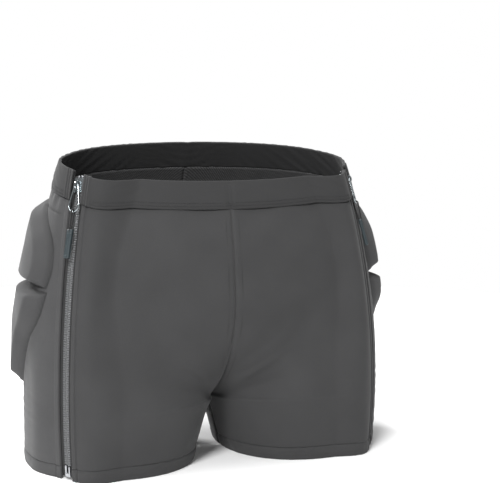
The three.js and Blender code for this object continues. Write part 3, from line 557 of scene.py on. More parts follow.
def cloth_material(name, shade, tint=(1, 1, 1.02), pitch=(0.00075, 0.0006), slant=0.0, bump=0.35,
                   depth=0.0001, sheen=0.1, rough=0.84, contrast=0.18, patches=0.12, uv=True,
                   painted_crease_shade=0.0):
    """Knitted or woven cloth: thread relief, painted shade in the gaps between threads with their tops
    painted lighter, soft patches, fine grain and sheen.
    Where a valley-shade share is given, the piece's per-point painted-shade values darken its valleys by
    that share."""
    material, n, shader = new_material(name)
    where = n.add("ShaderNodeTexCoord").outputs
    cloth = where["UV"] if uv else where["Object"]
    weave = grouped(n, WEAVE, {"Vector": cloth, "Pitch A": pitch[0], "Pitch B": pitch[1], "Slant": slant})
    mottle = grouped(n, MOTTLE, {"Vector": where["Object"], "Patch Scale": 22.0, "Grain Scale": 1400.0})
    # painted shade: the colour is darkened by `contrast` in the gaps between threads and lightened on
    # their tops
    dark, light = grey(shade * (1 - contrast), tint), grey(shade * (1 + contrast), tint)
    threads = n.blend(weave["Gap Shade"], dark, light)
    soft = n.math("MULTIPLY", n.math("SUBTRACT", mottle["Patches"], 0.5), patches * 2)
    fine = n.math("MULTIPLY", n.math("SUBTRACT", mottle["Grain"], 0.5), contrast * 1.6)
    level = n.math("ADD", n.math("ADD", soft, fine), 1.0)
    # painted shade: per-point values darken the colour in the piece's valleys
    if painted_crease_shade > 0:
        valley = n.add("ShaderNodeAttribute", attribute_name="painted_crease_shade").outputs["Fac"]
        level = n.math("MULTIPLY", level, n.math("SUBTRACT", 1.0, n.math("MULTIPLY", valley, painted_crease_shade)))
    colour = n.add("ShaderNodeVectorMath", {0: threads}, operation="SCALE")
    n.tree.links.new(level, colour.inputs["Scale"])
    n.tree.links.new(colour.outputs[0], shader.inputs["Base Color"])
    roughness = n.math("ADD", n.math("MULTIPLY", mottle["Patches"], 0.12), rough - 0.06)
    n.tree.links.new(roughness, shader.inputs["Roughness"])
    height = n.math("ADD", weave["Height"], n.math("MULTIPLY", mottle["Grain"], 0.7))
    relief = n.add("ShaderNodeBump", {"Strength": bump, "Distance": depth, "Height": height})
    n.tree.links.new(relief.outputs[0], shader.inputs["Normal"])
    shader.inputs["Sheen Weight"].default_value = sheen
    shader.inputs["Sheen Roughness"].default_value = 0.45
    shader.inputs["Specular IOR Level"].default_value = 0.3
    return material


def moulded_material(name, colour, rough, wear=0.5, metal=0.0, worn=None, grain=0.15, coat=0.0,
                     grain_scale=1800.0, specular=0.5):
    """Moulded or cast piece: fine surface grain, smudged gloss, and edges rubbed lighter."""
    material, n, shader = new_material(name)
    place = n.add("ShaderNodeTexCoord").outputs["Object"]
    mottle = grouped(n, MOTTLE, {"Vector": place, "Patch Scale": 260.0, "Grain Scale": grain_scale})
    mask = grouped(n, WEAR, {"Vector": place, "Amount": wear, "Break Scale": 900.0})["Mask"]
    dark = tuple(c * 0.82 for c in colour) + (1,)
    plain = n.blend(mottle["Patches"], dark, tuple(colour) + (1,))
    rubbed = tuple(worn or [min(1, c * 1.8 + 0.05) for c in colour]) + (1,)
    n.tree.links.new(n.blend(mask, plain, rubbed), shader.inputs["Base Color"])
    smudge = n.math("ADD", n.math("MULTIPLY", mottle["Patches"], 0.16), rough - 0.08)
    n.tree.links.new(n.math("ADD", smudge, n.math("MULTIPLY", mask, 0.1)), shader.inputs["Roughness"])
    relief = n.add("ShaderNodeBump", {"Strength": grain, "Distance": 0.00005, "Height": mottle["Grain"]})
    n.tree.links.new(relief.outputs[0], shader.inputs["Normal"])
    shader.inputs["Metallic"].default_value = metal
    shader.inputs["Coat Weight"].default_value = coat
    shader.inputs["Specular IOR Level"].default_value = specular
    return material


SHELL = cloth_material("stretch_shell", 0.042, patches=0.2, contrast=0.24)
# the side cloth is darkened by up to 0.55 in its valleys and at the yoke seam as painted shade
SIDE = cloth_material("stretch_side", 0.058, painted_crease_shade=0.55, patches=0.2, contrast=0.24)
BAND = cloth_material("waistband_cloth", 0.032, pitch=(0.0008, 0.0007))
MESH = cloth_material("mesh_lining", 0.055, pitch=(0.0021, 0.0018), slant=0.5, bump=0.9,
                      depth=0.0004, contrast=0.65, sheen=0.2)
ELASTIC = cloth_material("ribbed_elastic", 0.05, pitch=(0.0012, 0.0022), bump=0.8, depth=0.0003,
                         contrast=0.3)
TAPE = cloth_material("woven_zip_tape", 0.028, pitch=(0.0009, 0.0013), slant=1.0, bump=0.7,
                      depth=0.0002, contrast=0.3)
CORD = cloth_material("braided_cord", 0.02, pitch=(0.0011, 0.0011), slant=1.0, bump=0.9,
                      depth=0.0003, contrast=0.35, sheen=0.15)
THREAD = cloth_material("sewing_thread", 0.026, pitch=(0.0004, 0.0004), slant=1.0, bump=0.5,
                        contrast=0.25, uv=False)
FOAM = moulded_material("moulded_foam", (0.022, 0.022, 0.024), 0.8, wear=0.3, grain=0.8,
                        grain_scale=900.0, specular=0.25)
TOOTH = moulded_material("moulded_tooth", (0.1, 0.103, 0.106), 0.4, wear=0.6, coat=0.15)
CHROME = moulded_material("polished_metal", (0.44, 0.48, 0.5), 0.2, wear=0.4, metal=1.0,
                          worn=(0.7, 0.72, 0.74), grain=0.05)
SATIN = moulded_material("satin_metal", (0.47, 0.48, 0.5), 0.34, wear=0.5, metal=1.0,
                         worn=(0.7, 0.7, 0.72), grain=0.1)
RUBBER = moulded_material("moulded_grip", (0.022, 0.034, 0.039), 0.5, wear=0.35, grain=0.4,
                          worn=(0.07, 0.09, 0.1), grain_scale=2600.0)

# ---- foam pads: rows from the bottom up of [degrees round from the back seam, level], each with
# an inner, a middle and an outer point ----
PADS = {
    "seat_pad": (13, 3, (15, 5, 8, 5), [
        [[19.5, 0.035], [23.5, 0.025], [28, 0.035]],
        [[15.2, 0.09], [24, 0.09], [33, 0.09]],
        [[15.4, 0.15], [26, 0.17], [36.8, 0.19]],
        [[20.8, 0.28], [31.6, 0.305], [42.5, 0.33]],
        [[24.8, 0.415], [35.6, 0.45], [46.6, 0.485]],
        [[26.2, 0.585], [37.2, 0.625], [48.2, 0.665]],
        [[28.6, 0.785], [38.4, 0.788], [48, 0.785]],
    ]),
    "hip_pad_upper": (14.5, 4, (14, 8, 4, 12), [
        [[51, 0.492], [70, 0.502], [89, 0.522]],
        [[51.2, 0.565], [70.3, 0.585], [89.2, 0.605]],
        [[52.6, 0.67], [70, 0.69], [87, 0.71]],
        [[55.4, 0.785], [68, 0.805], [80, 0.82]],
    ]),
    "hip_pad_lower": (14.5, 4, (10, 8, 10, 4), [
        [[41.5, 0.215], [57, 0.115], [76, 0.075]],
        [[45, 0.31], [65, 0.25], [83.5, 0.245]],
        [[48.6, 0.405], [69.2, 0.38], [88.6, 0.37]],
        [[50.2, 0.46], [70.2, 0.468], [89.4, 0.488]],
    ]),
    "thigh_pad": (9, 3, (8, 8, 8, 6), [
        [[28.5, -0.13], [43, -0.42], [57.5, -0.19]],
        [[35, 0.005], [47.5, -0.13], [59.6, -0.08]],
        [[41, 0.16], [51, 0.085], [61, 0.015]],
    ]),
    "tailbone_pad": (14, 3, (17, 17, 14, 6), [
        [[-angle, level], [0, level], [angle, level]]
        for angle, level in ((4.5, 0.125), (10.4, 0.18), (17.2, 0.29), (21.2, 0.415),
                             (23.4, 0.585), (25.4, 0.785))
    ]),
}
FOLD_RADIUS = 1.1  # of the skin over a pad's ridges
DRAPE = 1.7  # width of skin that comes down beside a pad's wall
POCKET = 1.8  # pad's surface to the outside of the skin over it
SKIN_OUT = 2.6  # outside of the skin where there is no pad
SKIN_THICK = 1.3
YOKE_LEVEL = 0.822  # seam across the back and sides above the pads


def share_at_angle(degrees, level):
    """Girth share at an angle round from the back seam, by halving."""
    low = np.full_like(level, ZIP_GIRTH)
    high = np.where(level < 0, INSEAM_TURN, 1.0)
    wanted = np.radians(np.abs(degrees))
    for _ in range(HALVINGS):
        middle = (low + high) / 2
        x, y = section(middle, level)
        beyond = np.arctan2(x, y - PAD_AXIS_Y) > wanted
        low, high = np.where(beyond, middle, low), np.where(beyond, high, middle)
    return (low + high) / 2


def pad_outline(rows):
    """The four sides as dense lines in degrees and height: inner, outer, bottom and top."""
    rows = np.array(rows, float)
    t = np.linspace(0, 1, 25)
    inner, outer = spline(rows[:, 0], t), spline(rows[:, 2], t)
    bow = np.stack([2 * (t - 0.5) * (t - 1), 4 * t * (1 - t), 2 * t * (t - 0.5)], -1)
    sides = [inner, outer, bow @ rows[0], bow @ rows[-1]]
    measured = []
    for line in sides:
        x, y = section(share_at_angle(line[:, 0], line[:, 1]), line[:, 1])
        measured.append(np.stack([line[:, 0], height_at(y, line[:, 1])], -1))
    return measured


OUTLINES = {name: pad_outline(pad[3]) for name, pad in PADS.items()}


def inside_distances(name, degrees, z, radius):
    """Distance in mm inside each side of a pad, negative outside, for points at an angle, a height
    and a distance from the pads' axis. A side's line gives angle over height or the reverse, and
    the difference is divided by the square root of one plus the line's slope squared."""
    inner, outer, bottom, top = OUTLINES[name]
    per_degree = radius * math.pi / 180
    found = []
    for line, sign in ((inner, 1), (outer, -1)):
        at = lambda h: carried_on(h, line[:, 1], line[:, 0])
        slope = (at(z + 2) - at(z - 2)) / 4 * per_degree
        found.append(sign * (degrees - at(z)) * per_degree / np.sqrt(1 + slope ** 2))
    for line, sign in ((bottom, 1), (top, -1)):
        at = lambda a: carried_on(a, line[:, 0], line[:, 1])
        slope = (at(degrees + 1) - at(degrees - 1)) / 2 / per_degree
        found.append(sign * (z - at(degrees)) / np.sqrt(1 + slope ** 2))
    return found


def pad_height(name, degrees, z, radius, drape):
    """Height of a pad's sloped block. The share up each slope is the least of distance over
    slope, corners rounded; the wall under it comes up over `drape` mm round the outline."""
    thick, wall, slopes, _ = PADS[name]
    distances = inside_distances(name, degrees, z, radius)
    climb = [rounded_ramp(d / s, FOLD_RADIUS / s) for d, s in zip(distances, slopes)]
    up = climb[0] * climb[1] * climb[2] * climb[3]
    least = np.minimum.reduce(distances)
    side = smooth((least + drape) / (drape + 0.6))
    return side * (wall + (thick - wall) * up), least


def pad_place(share, level):
    """Angle, height and distance from the pads' axis, on the section before the zip pulls it."""
    x, y = section(share, level)
    return np.degrees(np.arctan2(x, y - PAD_AXIS_Y)), height_at(y, level), np.hypot(x, y - PAD_AXIS_Y)


def pad_relief(share, level):
    """How far the skin stands out over the pads, and the distance inside the nearest pad."""
    degrees, z, radius = pad_place(share, level)
    heights, inside = 0.0, np.full(z.shape, -99.0)
    for name in PADS:
        height, least = pad_height(name, degrees, z, radius, DRAPE)
        heights = heights + np.maximum(height, 0) ** 6
        inside = np.maximum(inside, least)
    return np.maximum(heights ** (1 / 6) + POCKET - SKIN_OUT, 0), inside


# ---- cloth pieces ----
def cloth_uv(points):
    """Distances in metres along a grid's rows and columns, so that threads keep their size."""
    along = np.linalg.norm(np.diff(points, axis=1), axis=-1)
    up = np.linalg.norm(np.diff(points, axis=0), axis=-1)
    a = np.concatenate([np.zeros((points.shape[0], 1)), np.cumsum(along, 1)], 1)
    b = np.concatenate([np.zeros((1, points.shape[1])), np.cumsum(up, 0)], 0)
    return np.stack([a, b], -1).reshape(-1, 2) * MM


TORSO_HEIGHT = 250  # rough height from crotch to waist, for spacing
EDGE_GAP = 0.02  # a panel stops this far from its waistband and its hem


def cloth_levels(step=1.6):
    """Levels from the leg hem to the waistband, an even distance apart below and above the crotch."""
    low, high = HEM_LEVEL + EDGE_GAP / CROTCH_HEIGHT, BAND_LEVEL - EDGE_GAP / TORSO_HEIGHT
    below = np.linspace(low, 0, int(-low * CROTCH_HEIGHT / step))
    above = np.linspace(0, high, int(high * TORSO_HEIGHT / step))
    return np.concatenate([below, above[1:]])


def fold_edge(across):
    """Turned-under edge beside the zip: a second thickness out to 14 mm, and a rounded fold."""
    doubled = 1.3 * smooth((14.6 - across) / 1.2)
    curl = 1 - np.sqrt(1 - np.clip((PANEL_EDGE + 1.3 - across) / 1.3, 0, 1) ** 2)
    return doubled - 2.3 * curl


def fold_lines(points, lines):
    """Soft folds: each a ridge along a straight line, Gaussian across and tapered at its ends.
    Lines are in (x, z) for the front or back: start, end, half width, height."""
    total = 0.0
    x, z = points[..., 0], points[..., 2]
    for x0, z0, x1, z1, width, height in lines:
        length = math.hypot(x1 - x0, z1 - z0)
        ux, uz = (x1 - x0) / length, (z1 - z0) / length
        along = ((x - x0) * ux + (z - z0) * uz) / length
        off = (x - x0) * -uz + (z - z0) * ux
        taper = smooth(along / 0.35) * smooth((1 - along) / 0.45)
        total = total + height * taper * np.exp(-((off / width) ** 2))
    return total


FRONT_FOLDS = [
    (4, 84, 70, 128, 5, 1.7), (6, 96, 84, 158, 7, 1.4), (3, 74, 74, 96, 5, -1.3),
    (4, 118, 60, 196, 9, 1.0), (12, 250, 90, 236, 14, 0.8),
    (150, 60, 96, 40, 8, 0.8), (30, 40, 60, 20, 6, 0.7), (140, 250, 60, 262, 12, 0.7),
]
BACK_FOLDS = [
    (4, 90, 44, 122, 4, 1.2), (3, 82, 60, 92, 4, 1.4), (14, 70, 70, 66, 5, 1.1),
    (30, 40, 110, 56, 6, 0.8), (60, 24, 150, 30, 7, 0.7), (6, 100, 30, 140, 3, -1.2),
]


def seam_groove(points, depth=0.6, width=1.4):
    """Shallow groove where the two halves are sewn together at the middle."""
    return -depth * np.exp(-((points[..., 0] / width) ** 2))


def front_skin():
    """Front panel: body surface plus cloth thickness, folded edge, seam groove and soft folds."""
    level = cloth_levels()
    share = girth_lines(level, -1, 84, 22)
    level = np.broadcast_to(level[:, None], share.shape)
    base, normal = body(share, level), body_normal(share, level)
    across = np.abs(zip_offset(share, level))
    out = 1.6 + fold_edge(across) + fold_lines(base, FRONT_FOLDS) * smooth((across - 14) / 20)
    out = out + 0.45 * ripple(base[..., 0], base[..., 2], 80, 70, 3) * smooth((across - 14) / 30)
    out = out + np.where(level > 0, seam_groove(base), 0)
    outer = base + normal * out[..., None]
    inner = base + normal * np.minimum(out - 1.2, 0.4)[..., None]
    uv = cloth_uv(outer)
    return slab(outer, inner), np.concatenate([uv, uv])


def skin_wrinkles(base, share, level, inside):
    """Gathers under the waistband, drag lines between the pads and slight unevenness on them."""
    x, z = base[..., 0], base[..., 2]
    girth = np.degrees(np.arctan2(x, base[..., 1] - PAD_AXIS_Y)) * 2.4
    under_band = smooth(1 - (BAND_LEVEL - level) / 0.09)
    gathers = 0.55 * ripple(girth, z, 11, 60, 11) * under_band
    free = 1 - smooth((inside + 1) / 5)
    drag = 0.16 * ripple(z, girth, 14, 90, 5) * free * smooth((0.9 - level) / 0.3)
    on_pad = 0.35 * ripple(girth, z, 44, 50, 9) * (1 - free)
    return gathers + drag + on_pad + fold_lines(base, BACK_FOLDS) * free


def back_skin():
    """Back and side panel: the skin draped over the pads, with its seam, folds and zip edge."""
    level = cloth_levels(1.5)
    share = girth_lines(level, 1, 178, 20)
    level = np.broadcast_to(level[:, None], share.shape)
    base, normal = body(share, level), body_normal(share, level)
    across = np.abs(zip_offset(share, level))
    relief, inside = pad_relief(share, level)
    away = smooth((across - 14) / 12)
    out = SKIN_OUT + relief + skin_wrinkles(base, share, level, inside) * away
    out = out + fold_edge(across) - (1 - away) * (SKIN_OUT - 1.6)
    out = out + np.where(level > 0, seam_groove(base, 1.1, 1.5), 0)
    valley = np.exp(-(((inside + DRAPE + 0.3) / 1.0) ** 2)) * away
    yoke = np.exp(-(((level - YOKE_LEVEL) * TORSO_HEIGHT / 0.9) ** 2)) * away
    out = out - 1.1 * valley - 0.9 * yoke
    outer = base + normal * out[..., None]
    inner = base + normal * np.maximum(out - SKIN_THICK, 0.5)[..., None]
    uv = cloth_uv(outer)
    # painted shade: the grooves round the pads and the yoke seam get values that darken the cloth's
    # colour
    painted_crease_shade = np.clip(valley + 0.7 * yoke, 0, 1).ravel()
    return slab(outer, inner), np.concatenate([uv, uv]), np.concatenate([painted_crease_shade, painted_crease_shade])


def lining():
    """Mesh lining against the body: a thin sheet, a little uneven, up to the zip tape."""
    level = cloth_levels(2.6)
    share = girth_lines(level, 1, 90, 5, 15.0)
    level = np.broadcast_to(level[:, None], share.shape)
    base = body(share, level)
    sag = 0.12 * ripple(base[..., 0], base[..., 2], 26, 30, 21)
    outer, inner = on_body(share, level, 0.85 + sag), on_body(share, level, 0.1 + sag)
    uv = cloth_uv(outer)
    return slab(outer, inner), np.concatenate([uv, uv])


LOOP_PUSH = 1.35  # how far an ellipse is pushed past its box before it is held inside it


def loop_profile(low, high, inner, outer, corner, count):
    """Rounded rectangle as (along the cloth, out) pairs: an ellipse made larger, held inside the
    box less its corners, with a circle of the corner's radius added."""
    turn = np.linspace(0, 2 * math.pi, count, endpoint=False)
    half_a, half_b = (high - low) / 2, (outer - inner) / 2
    a = np.clip(half_a * LOOP_PUSH * np.cos(turn), -(half_a - corner), half_a - corner)
    centre_a, centre_b = (low + high) / 2, (inner + outer) / 2
    corner_b = min(corner, half_b * 0.9)
    b = np.clip(half_b * LOOP_PUSH * np.sin(turn), -(half_b - corner_b), half_b - corner_b)
    return centre_a + a + corner * np.cos(turn), centre_b + b + corner_b * np.sin(turn)


def band_rings(side, profile, stop, swell=None, main=64, strip=16):
    """Rings of a band round the front or back, from zip to zip, with an optional swelling."""
    v, h = profile
    level = BAND_LEVEL + v * BAND_LEVELS_PER_MM
    share = girth_lines(level, side, main, strip, stop).T
    level = np.broadcast_to(level[None], share.shape)
    base = body(share, level)
    out = np.broadcast_to(h[None], share.shape)
    if swell is not None:
        out = out + swell(base, share, level, np.broadcast_to(v[None], share.shape), out)
    half = base + body_normal(share, level) * out[..., None]
    half[0, :, 0] = 0
    return np.concatenate([half[:0:-1] * [-1, 1, 1], half])


def band_swell(side):
    """A seam at the middle, a folded end beside each zip, and gathers (strong at the back)."""
    def swell(base, share, level, v, out):
        outside = smooth((out - 1.8) / 1.0)
        across = np.abs(zip_offset(share, level))
        tab = 1.2 * smooth((17.0 - across) / 0.9)
        grooves = sum(np.exp(-(((across - at) / 0.8) ** 2)) for at in (11.0, 14.0))
        tab = tab - 0.8 * grooves
        groove = seam_groove(base, 1.5, 1.0)
        girth = np.degrees(np.arctan2(base[..., 0], side * (base[..., 1] - PAD_AXIS_Y))) * 2.2
        pull = (0.5 if side > 0 else 0.1) * ripple(girth + 0.8 * v, v, 9, 50, 31)
        allowance = 0.9 * np.exp(-((base[..., 0] / 1.3) ** 2))
        behind = 0.35 * ripple(girth + 0.8 * v, v, 10, 50, 33) - allowance
        free = smooth((across - 20) / 14)
        return outside * (tab + groove + pull * free) + (1 - outside) * behind * free
    return swell


CASING_PROFILE = loop_profile(0, BAND_HEIGHT, 0.1, 3.5, 1.0, 56)


def waistband(side):
    """Folded casing with the tunnel for its elastic."""
    tunnel = loop_profile(3.4, BAND_HEIGHT - 3.4, 0.95, 2.65, 0.5, 56)
    skin = band_rings(side, CASING_PROFILE, PANEL_EDGE, band_swell(side))
    hollow = band_rings(side, tunnel, PANEL_EDGE)
    return hollow_tube(skin, hollow)


def waist_elastic(side):
    """Ribbed elastic in the casing: a flat strip with ribs across it."""
    profile = loop_profile(4.0, BAND_HEIGHT - 4.0, 1.2, 2.4, 0.4, 40)
    ribs = lambda base, share, level, v, out: 0.1 * np.sin(v * 2.2) * np.sign(out - 1.8)
    return tube(band_rings(side, profile, PANEL_EDGE + 1, ribs))


def ring_uv(rings, extra=0):
    """Distances along and round a set of rings, in metres."""
    along = np.linalg.norm(np.diff(rings, axis=0), axis=-1).mean(1)
    a = np.concatenate([[0], np.cumsum(along)])
    around = np.linalg.norm(np.diff(rings, axis=1), axis=-1).mean(0)
    b = np.concatenate([[0], np.cumsum(around)])
    uv = np.stack(np.broadcast_arrays(a[:, None], b[None]), -1).reshape(-1, 2)
    return np.concatenate([uv, np.zeros((extra, 2))]) * MM


def leg_hem(side):
    """Folded hem round one leg's front or back, swelling a little between its stitches."""
    v, h = loop_profile(0, HEM_HEIGHT - EDGE_GAP, 0.1, 2.9, 1.0, 44)
    level = -1 + v * HEM_LEVELS_PER_MM
    share = girth_lines(level, side, 74, 14).T
    level = np.broadcast_to(level[None], share.shape)
    base, normal = body(share, level), body_normal(share, level)
    out = np.broadcast_to(h[None], share.shape)
    outside = smooth((out - 1.5) / 0.8)
    across = np.abs(zip_offset(share, level))
    rows = np.exp(-(((v - 9.4) / 0.8) ** 2))
    girth = base[..., 0] + base[..., 1]
    puff = 0.25 * ripple(girth, v[None], 8, 40, 41) - 0.5 * rows[None]
    edge = 0.5 * smooth((14.6 - across) / 1.4) - 1.1 * np.exp(-(((across - 15.2) / 0.7) ** 2))
    draw_in = -1.15 * smooth((v[None] - 10.2) / 3.0)
    out = out + outside * (puff * smooth((across - 14) / 10) + edge + draw_in)
    return base + normal * out[..., None]


# ---- zip ----
def arc(length):
    return length / ARC_RADIUS


CHAIN_TOP = angle_at_height(ZIP_TOP_Z - CHAIN_END)
CHAIN_BOTTOM = angle_at_height(CHAIN_END)
BOX_LENGTH = 12.0
STOP_LENGTH = 2.4
GAP = 0.3
BOX_TOP = CHAIN_BOTTOM + arc(BOX_LENGTH)
STOP_BOTTOM = CHAIN_TOP - arc(STOP_LENGTH)
TEETH_TOP = STOP_BOTTOM - arc(GAP)
TEETH_BOTTOM = BOX_TOP + arc(GAP)
TOOTH_PITCH = 2.42
TOOTH_MIDDLE = -0.7  # height of the chain's middle


def zip_tape(side):
    """Woven tape with a corded edge under the teeth: a thin profile carried along the arc."""
    across = np.array([0.9, 1.3, 2.0, 2.6, 3.2, 5, 8, 11, 13.4, 14, 14, 13.4, 11, 8, 5, 3.2, 2.6,
                       2.0, 1.3, 0.9])
    height = np.array([-0.55, -0.1, 0.1, -0.1, -0.35, -0.35, -0.35, -0.35, -0.35, -0.5, -1.0,
                       -1.15, -1.15, -1.15, -1.15, -1.15, -1.4, -1.6, -1.4, -0.95])
    angle = np.linspace(CHAIN_BOTTOM + arc(0.2), CHAIN_TOP - arc(0.1), 150)
    rings = zip_point(angle[:, None], side * across[None], height[None])
    return tube(rings), ring_uv(rings, 2)


def tooth_shape():
    """One moulded tooth: an eight-sided section along the direction across the chain, waisted
    behind its head so that the next row's heads fit between. Rows: across, half length, half
    height."""
    rows = np.array([[4.0, 0.75, 1.0], [3.7, 1.0, 1.35], [1.5, 0.95, 1.5], [0.9, 0.62, 1.45],
                     [0.1, 0.42, 1.4], [-0.9, 0.58, 1.35], [-1.6, 0.5, 1.15], [-1.85, 0.3, 0.8]])
    corner = np.array([[1, 0.55], [0.6, 1], [-0.6, 1], [-1, 0.55], [-1, -0.55], [-0.6, -1],
                       [0.6, -1], [1, -0.55]])
    across = np.broadcast_to(rows[:, :1], (len(rows), len(corner)))
    along = rows[:, 1:2] * corner[None, :, 0]
    height = rows[:, 2:] * corner[None, :, 1]
    return tube(np.stack([across, along, height], -1))


def zip_teeth(side):
    """A row of teeth; the two rows are half a pitch out of step."""
    start = TEETH_BOTTOM + arc(1.0 + (TOOTH_PITCH / 2 if side > 0 else 0))
    count = int((TEETH_TOP - arc(1.0) - start) / arc(TOOTH_PITCH)) + 1
    angle = start + np.arange(count) * arc(TOOTH_PITCH)
    radial, across, out = zip_axes(angle)
    axes = np.stack([across * side, np.cross(out, across), out], 1)
    return repeated(tooth_shape(), zip_point(angle, 0.0, TOOTH_MIDDLE), axes)


def bar(place, stations, power=4.0, around=24):
    """Rounded bar: superellipse rings at stations of (along, centre across, centre height, half
    across, half height), put in place by a function of (along, across, height)."""
    s = np.array(stations, float)
    turn = np.linspace(0, 2 * math.pi, around, endpoint=False)[None]
    across = s[:, 1:2] + s[:, 3:4] * signed_power(np.cos(turn), 2 / power)
    height = s[:, 2:3] + s[:, 4:5] * signed_power(np.sin(turn), 2 / power)
    along = np.broadcast_to(s[:, :1], across.shape)
    return tube(place(along, across, height))


def rounded_ends(start, finish, radius, *rest):
    """Stations of an even bar whose ends draw in by a quarter circle of this radius."""
    centre_a, centre_h, half_a, half_h = rest
    turn = np.radians([90, 65, 40, 18, 0])
    inset, along = radius * (1 - np.cos(turn)), radius * (1 - np.sin(turn))
    low = [(start + d, centre_a, centre_h, half_a - i, half_h - i) for d, i in zip(along, inset)]
    high = [(finish - d, centre_a, centre_h, half_a - i, half_h - i) for d, i in zip(along, inset)]
    return low + high[::-1]


def on_zip(along, across, height):
    """Place on the zip, with the first distance measured up from the chain's bottom end."""
    return zip_point(CHAIN_BOTTOM + arc(along), across, height)


CHAIN_LENGTH = float((CHAIN_TOP - CHAIN_BOTTOM) * ARC_RADIUS)


def top_stop(side):
    """Stop clamped over the tape's corded edge: a rounded block."""
    body_part = rounded_ends(CHAIN_LENGTH - STOP_LENGTH, CHAIN_LENGTH, 0.5, side * 2.4, -0.7, 1.6, 2.15)
    return bar(on_zip, body_part)


def zip_box():
    """Retaining box: a wide rounded foot, a back plate and two rails with the pin's slot between."""
    foot = bar(on_zip, rounded_ends(0, 4.6, 1.0, 0, -0.55, 3.85, 2.4), 5)
    back = bar(on_zip, rounded_ends(3.2, BOX_LENGTH, 0.5, 0, -2.45, 3.5, 0.6), 6)
    rail = bar(on_zip, rounded_ends(3.4, BOX_LENGTH, 0.8, 2.3, -0.6, 1.25, 2.1), 4)
    shoe = bar(on_zip, rounded_ends(3.4, BOX_LENGTH - 0.6, 0.7, -2.9, 0.9, 0.95, 0.85), 4)
    return joined(foot, back, rail, shoe)


def zip_pin():
    """Insertion pin: a rounded rod down into the box."""
    return bar(on_zip, rounded_ends(2.9, BOX_LENGTH, 0.45, -2.1, -0.95, 1.0, 0.85), 3)


# ---- slider and pull, in a local frame: X to the front, Y down the zip, Z out ----
SLIDER_LENGTH = 15.0
PULL_HEIGHT = 4.8
RING_WIRE, RING_TOP, RING_BOTTOM, RING_BETWEEN = 0.8, 2.6, 6.7, 18.7
LOOP_WIRE, LOOP_TOP, LOOP_BOTTOM, LOOP_BETWEEN = 0.8, 2.4, 1.2, 22.0
GRIP_LENGTH, GRIP_WIDTH, GRIP_THICKNESS, GRIP_OVERLAP = 30.0, 7.5, 4.4, 6.0
RING_END = RING_TOP + RING_BETWEEN + RING_BOTTOM
LOOP_END = RING_END + LOOP_BETWEEN + LOOP_BOTTOM + LOOP_WIRE

SLIDER_ANGLE = STOP_BOTTOM - arc(GAP + SLIDER_LENGTH / 2)
_, slider_side, SLIDER_OUT = (axis[0] for axis in zip_axes(np.array([SLIDER_ANGLE])))
FORWARD = -slider_side
DOWN = np.cross(SLIDER_OUT, FORWARD)
SLIDER_ORIGIN = zip_point(np.array(SLIDER_ANGLE), 0.0, 0.0)


def on_slider(down, forward, out):
    """Place in the slider's frame."""
    forward, down, out = forward[..., None], down[..., None], out[..., None]
    return SLIDER_ORIGIN + forward * FORWARD + down * DOWN + out * SLIDER_OUT


def link_path(first, second, between, count):
    """Closed line round two circles of different radius, in its own plane, evenly divided."""
    lean = math.asin((second - first) / between)
    a = np.linspace(-(math.pi - lean), -lean, 40)
    b = np.linspace(-lean, math.pi + lean, 60)
    top = np.stack([first * np.cos(a), first * np.sin(a)], -1)
    bottom = np.stack([second * np.cos(b), between + second * np.sin(b)], -1)
    line = np.concatenate([top, bottom, top[:1]])
    length = np.concatenate([[0], np.cumsum(np.linalg.norm(np.diff(line, axis=0), axis=1))])
    at = np.linspace(0, length[-1], count, endpoint=False)
    return np.stack([np.interp(at, length, line[:, k]) for k in (0, 1)], -1)


def swept_link(path, wire, place, around=16, squash=1.0):
    """Round wire or cord along a closed flat line: circles square to the line at every point."""
    ahead = unit(np.roll(path, -1, 0) - np.roll(path, 1, 0))
    sideways = np.stack([ahead[:, 1], -ahead[:, 0]], -1)
    turn = np.linspace(0, 2 * math.pi, around, endpoint=False)
    flat = path[:, None] + sideways[:, None] * (wire * np.cos(turn))[None, :, None]
    off = np.broadcast_to(wire * squash * np.sin(turn)[None], flat.shape[:2])
    rings = place(flat[..., 0], flat[..., 1], off)
    return tube(rings, closed=True), ring_uv(rings)


def pull_ring():
    """Keyhole ring of bent wire, flat over the slider."""
    path = link_path(RING_TOP, RING_BOTTOM, RING_BETWEEN, 140)
    return swept_link(path, RING_WIRE, lambda a, b, c: on_slider(b + RING_TOP, a, c + PULL_HEIGHT))


def pull_loop():
    """Loop of braided cord, square to the ring, from the ring's end into the grip."""
    path = link_path(LOOP_TOP, LOOP_BOTTOM, LOOP_BETWEEN, 160)
    return swept_link(
        path, LOOP_WIRE, lambda a, b, c: on_slider(b + RING_END, c, PULL_HEIGHT - a), 16, 1.1
    )


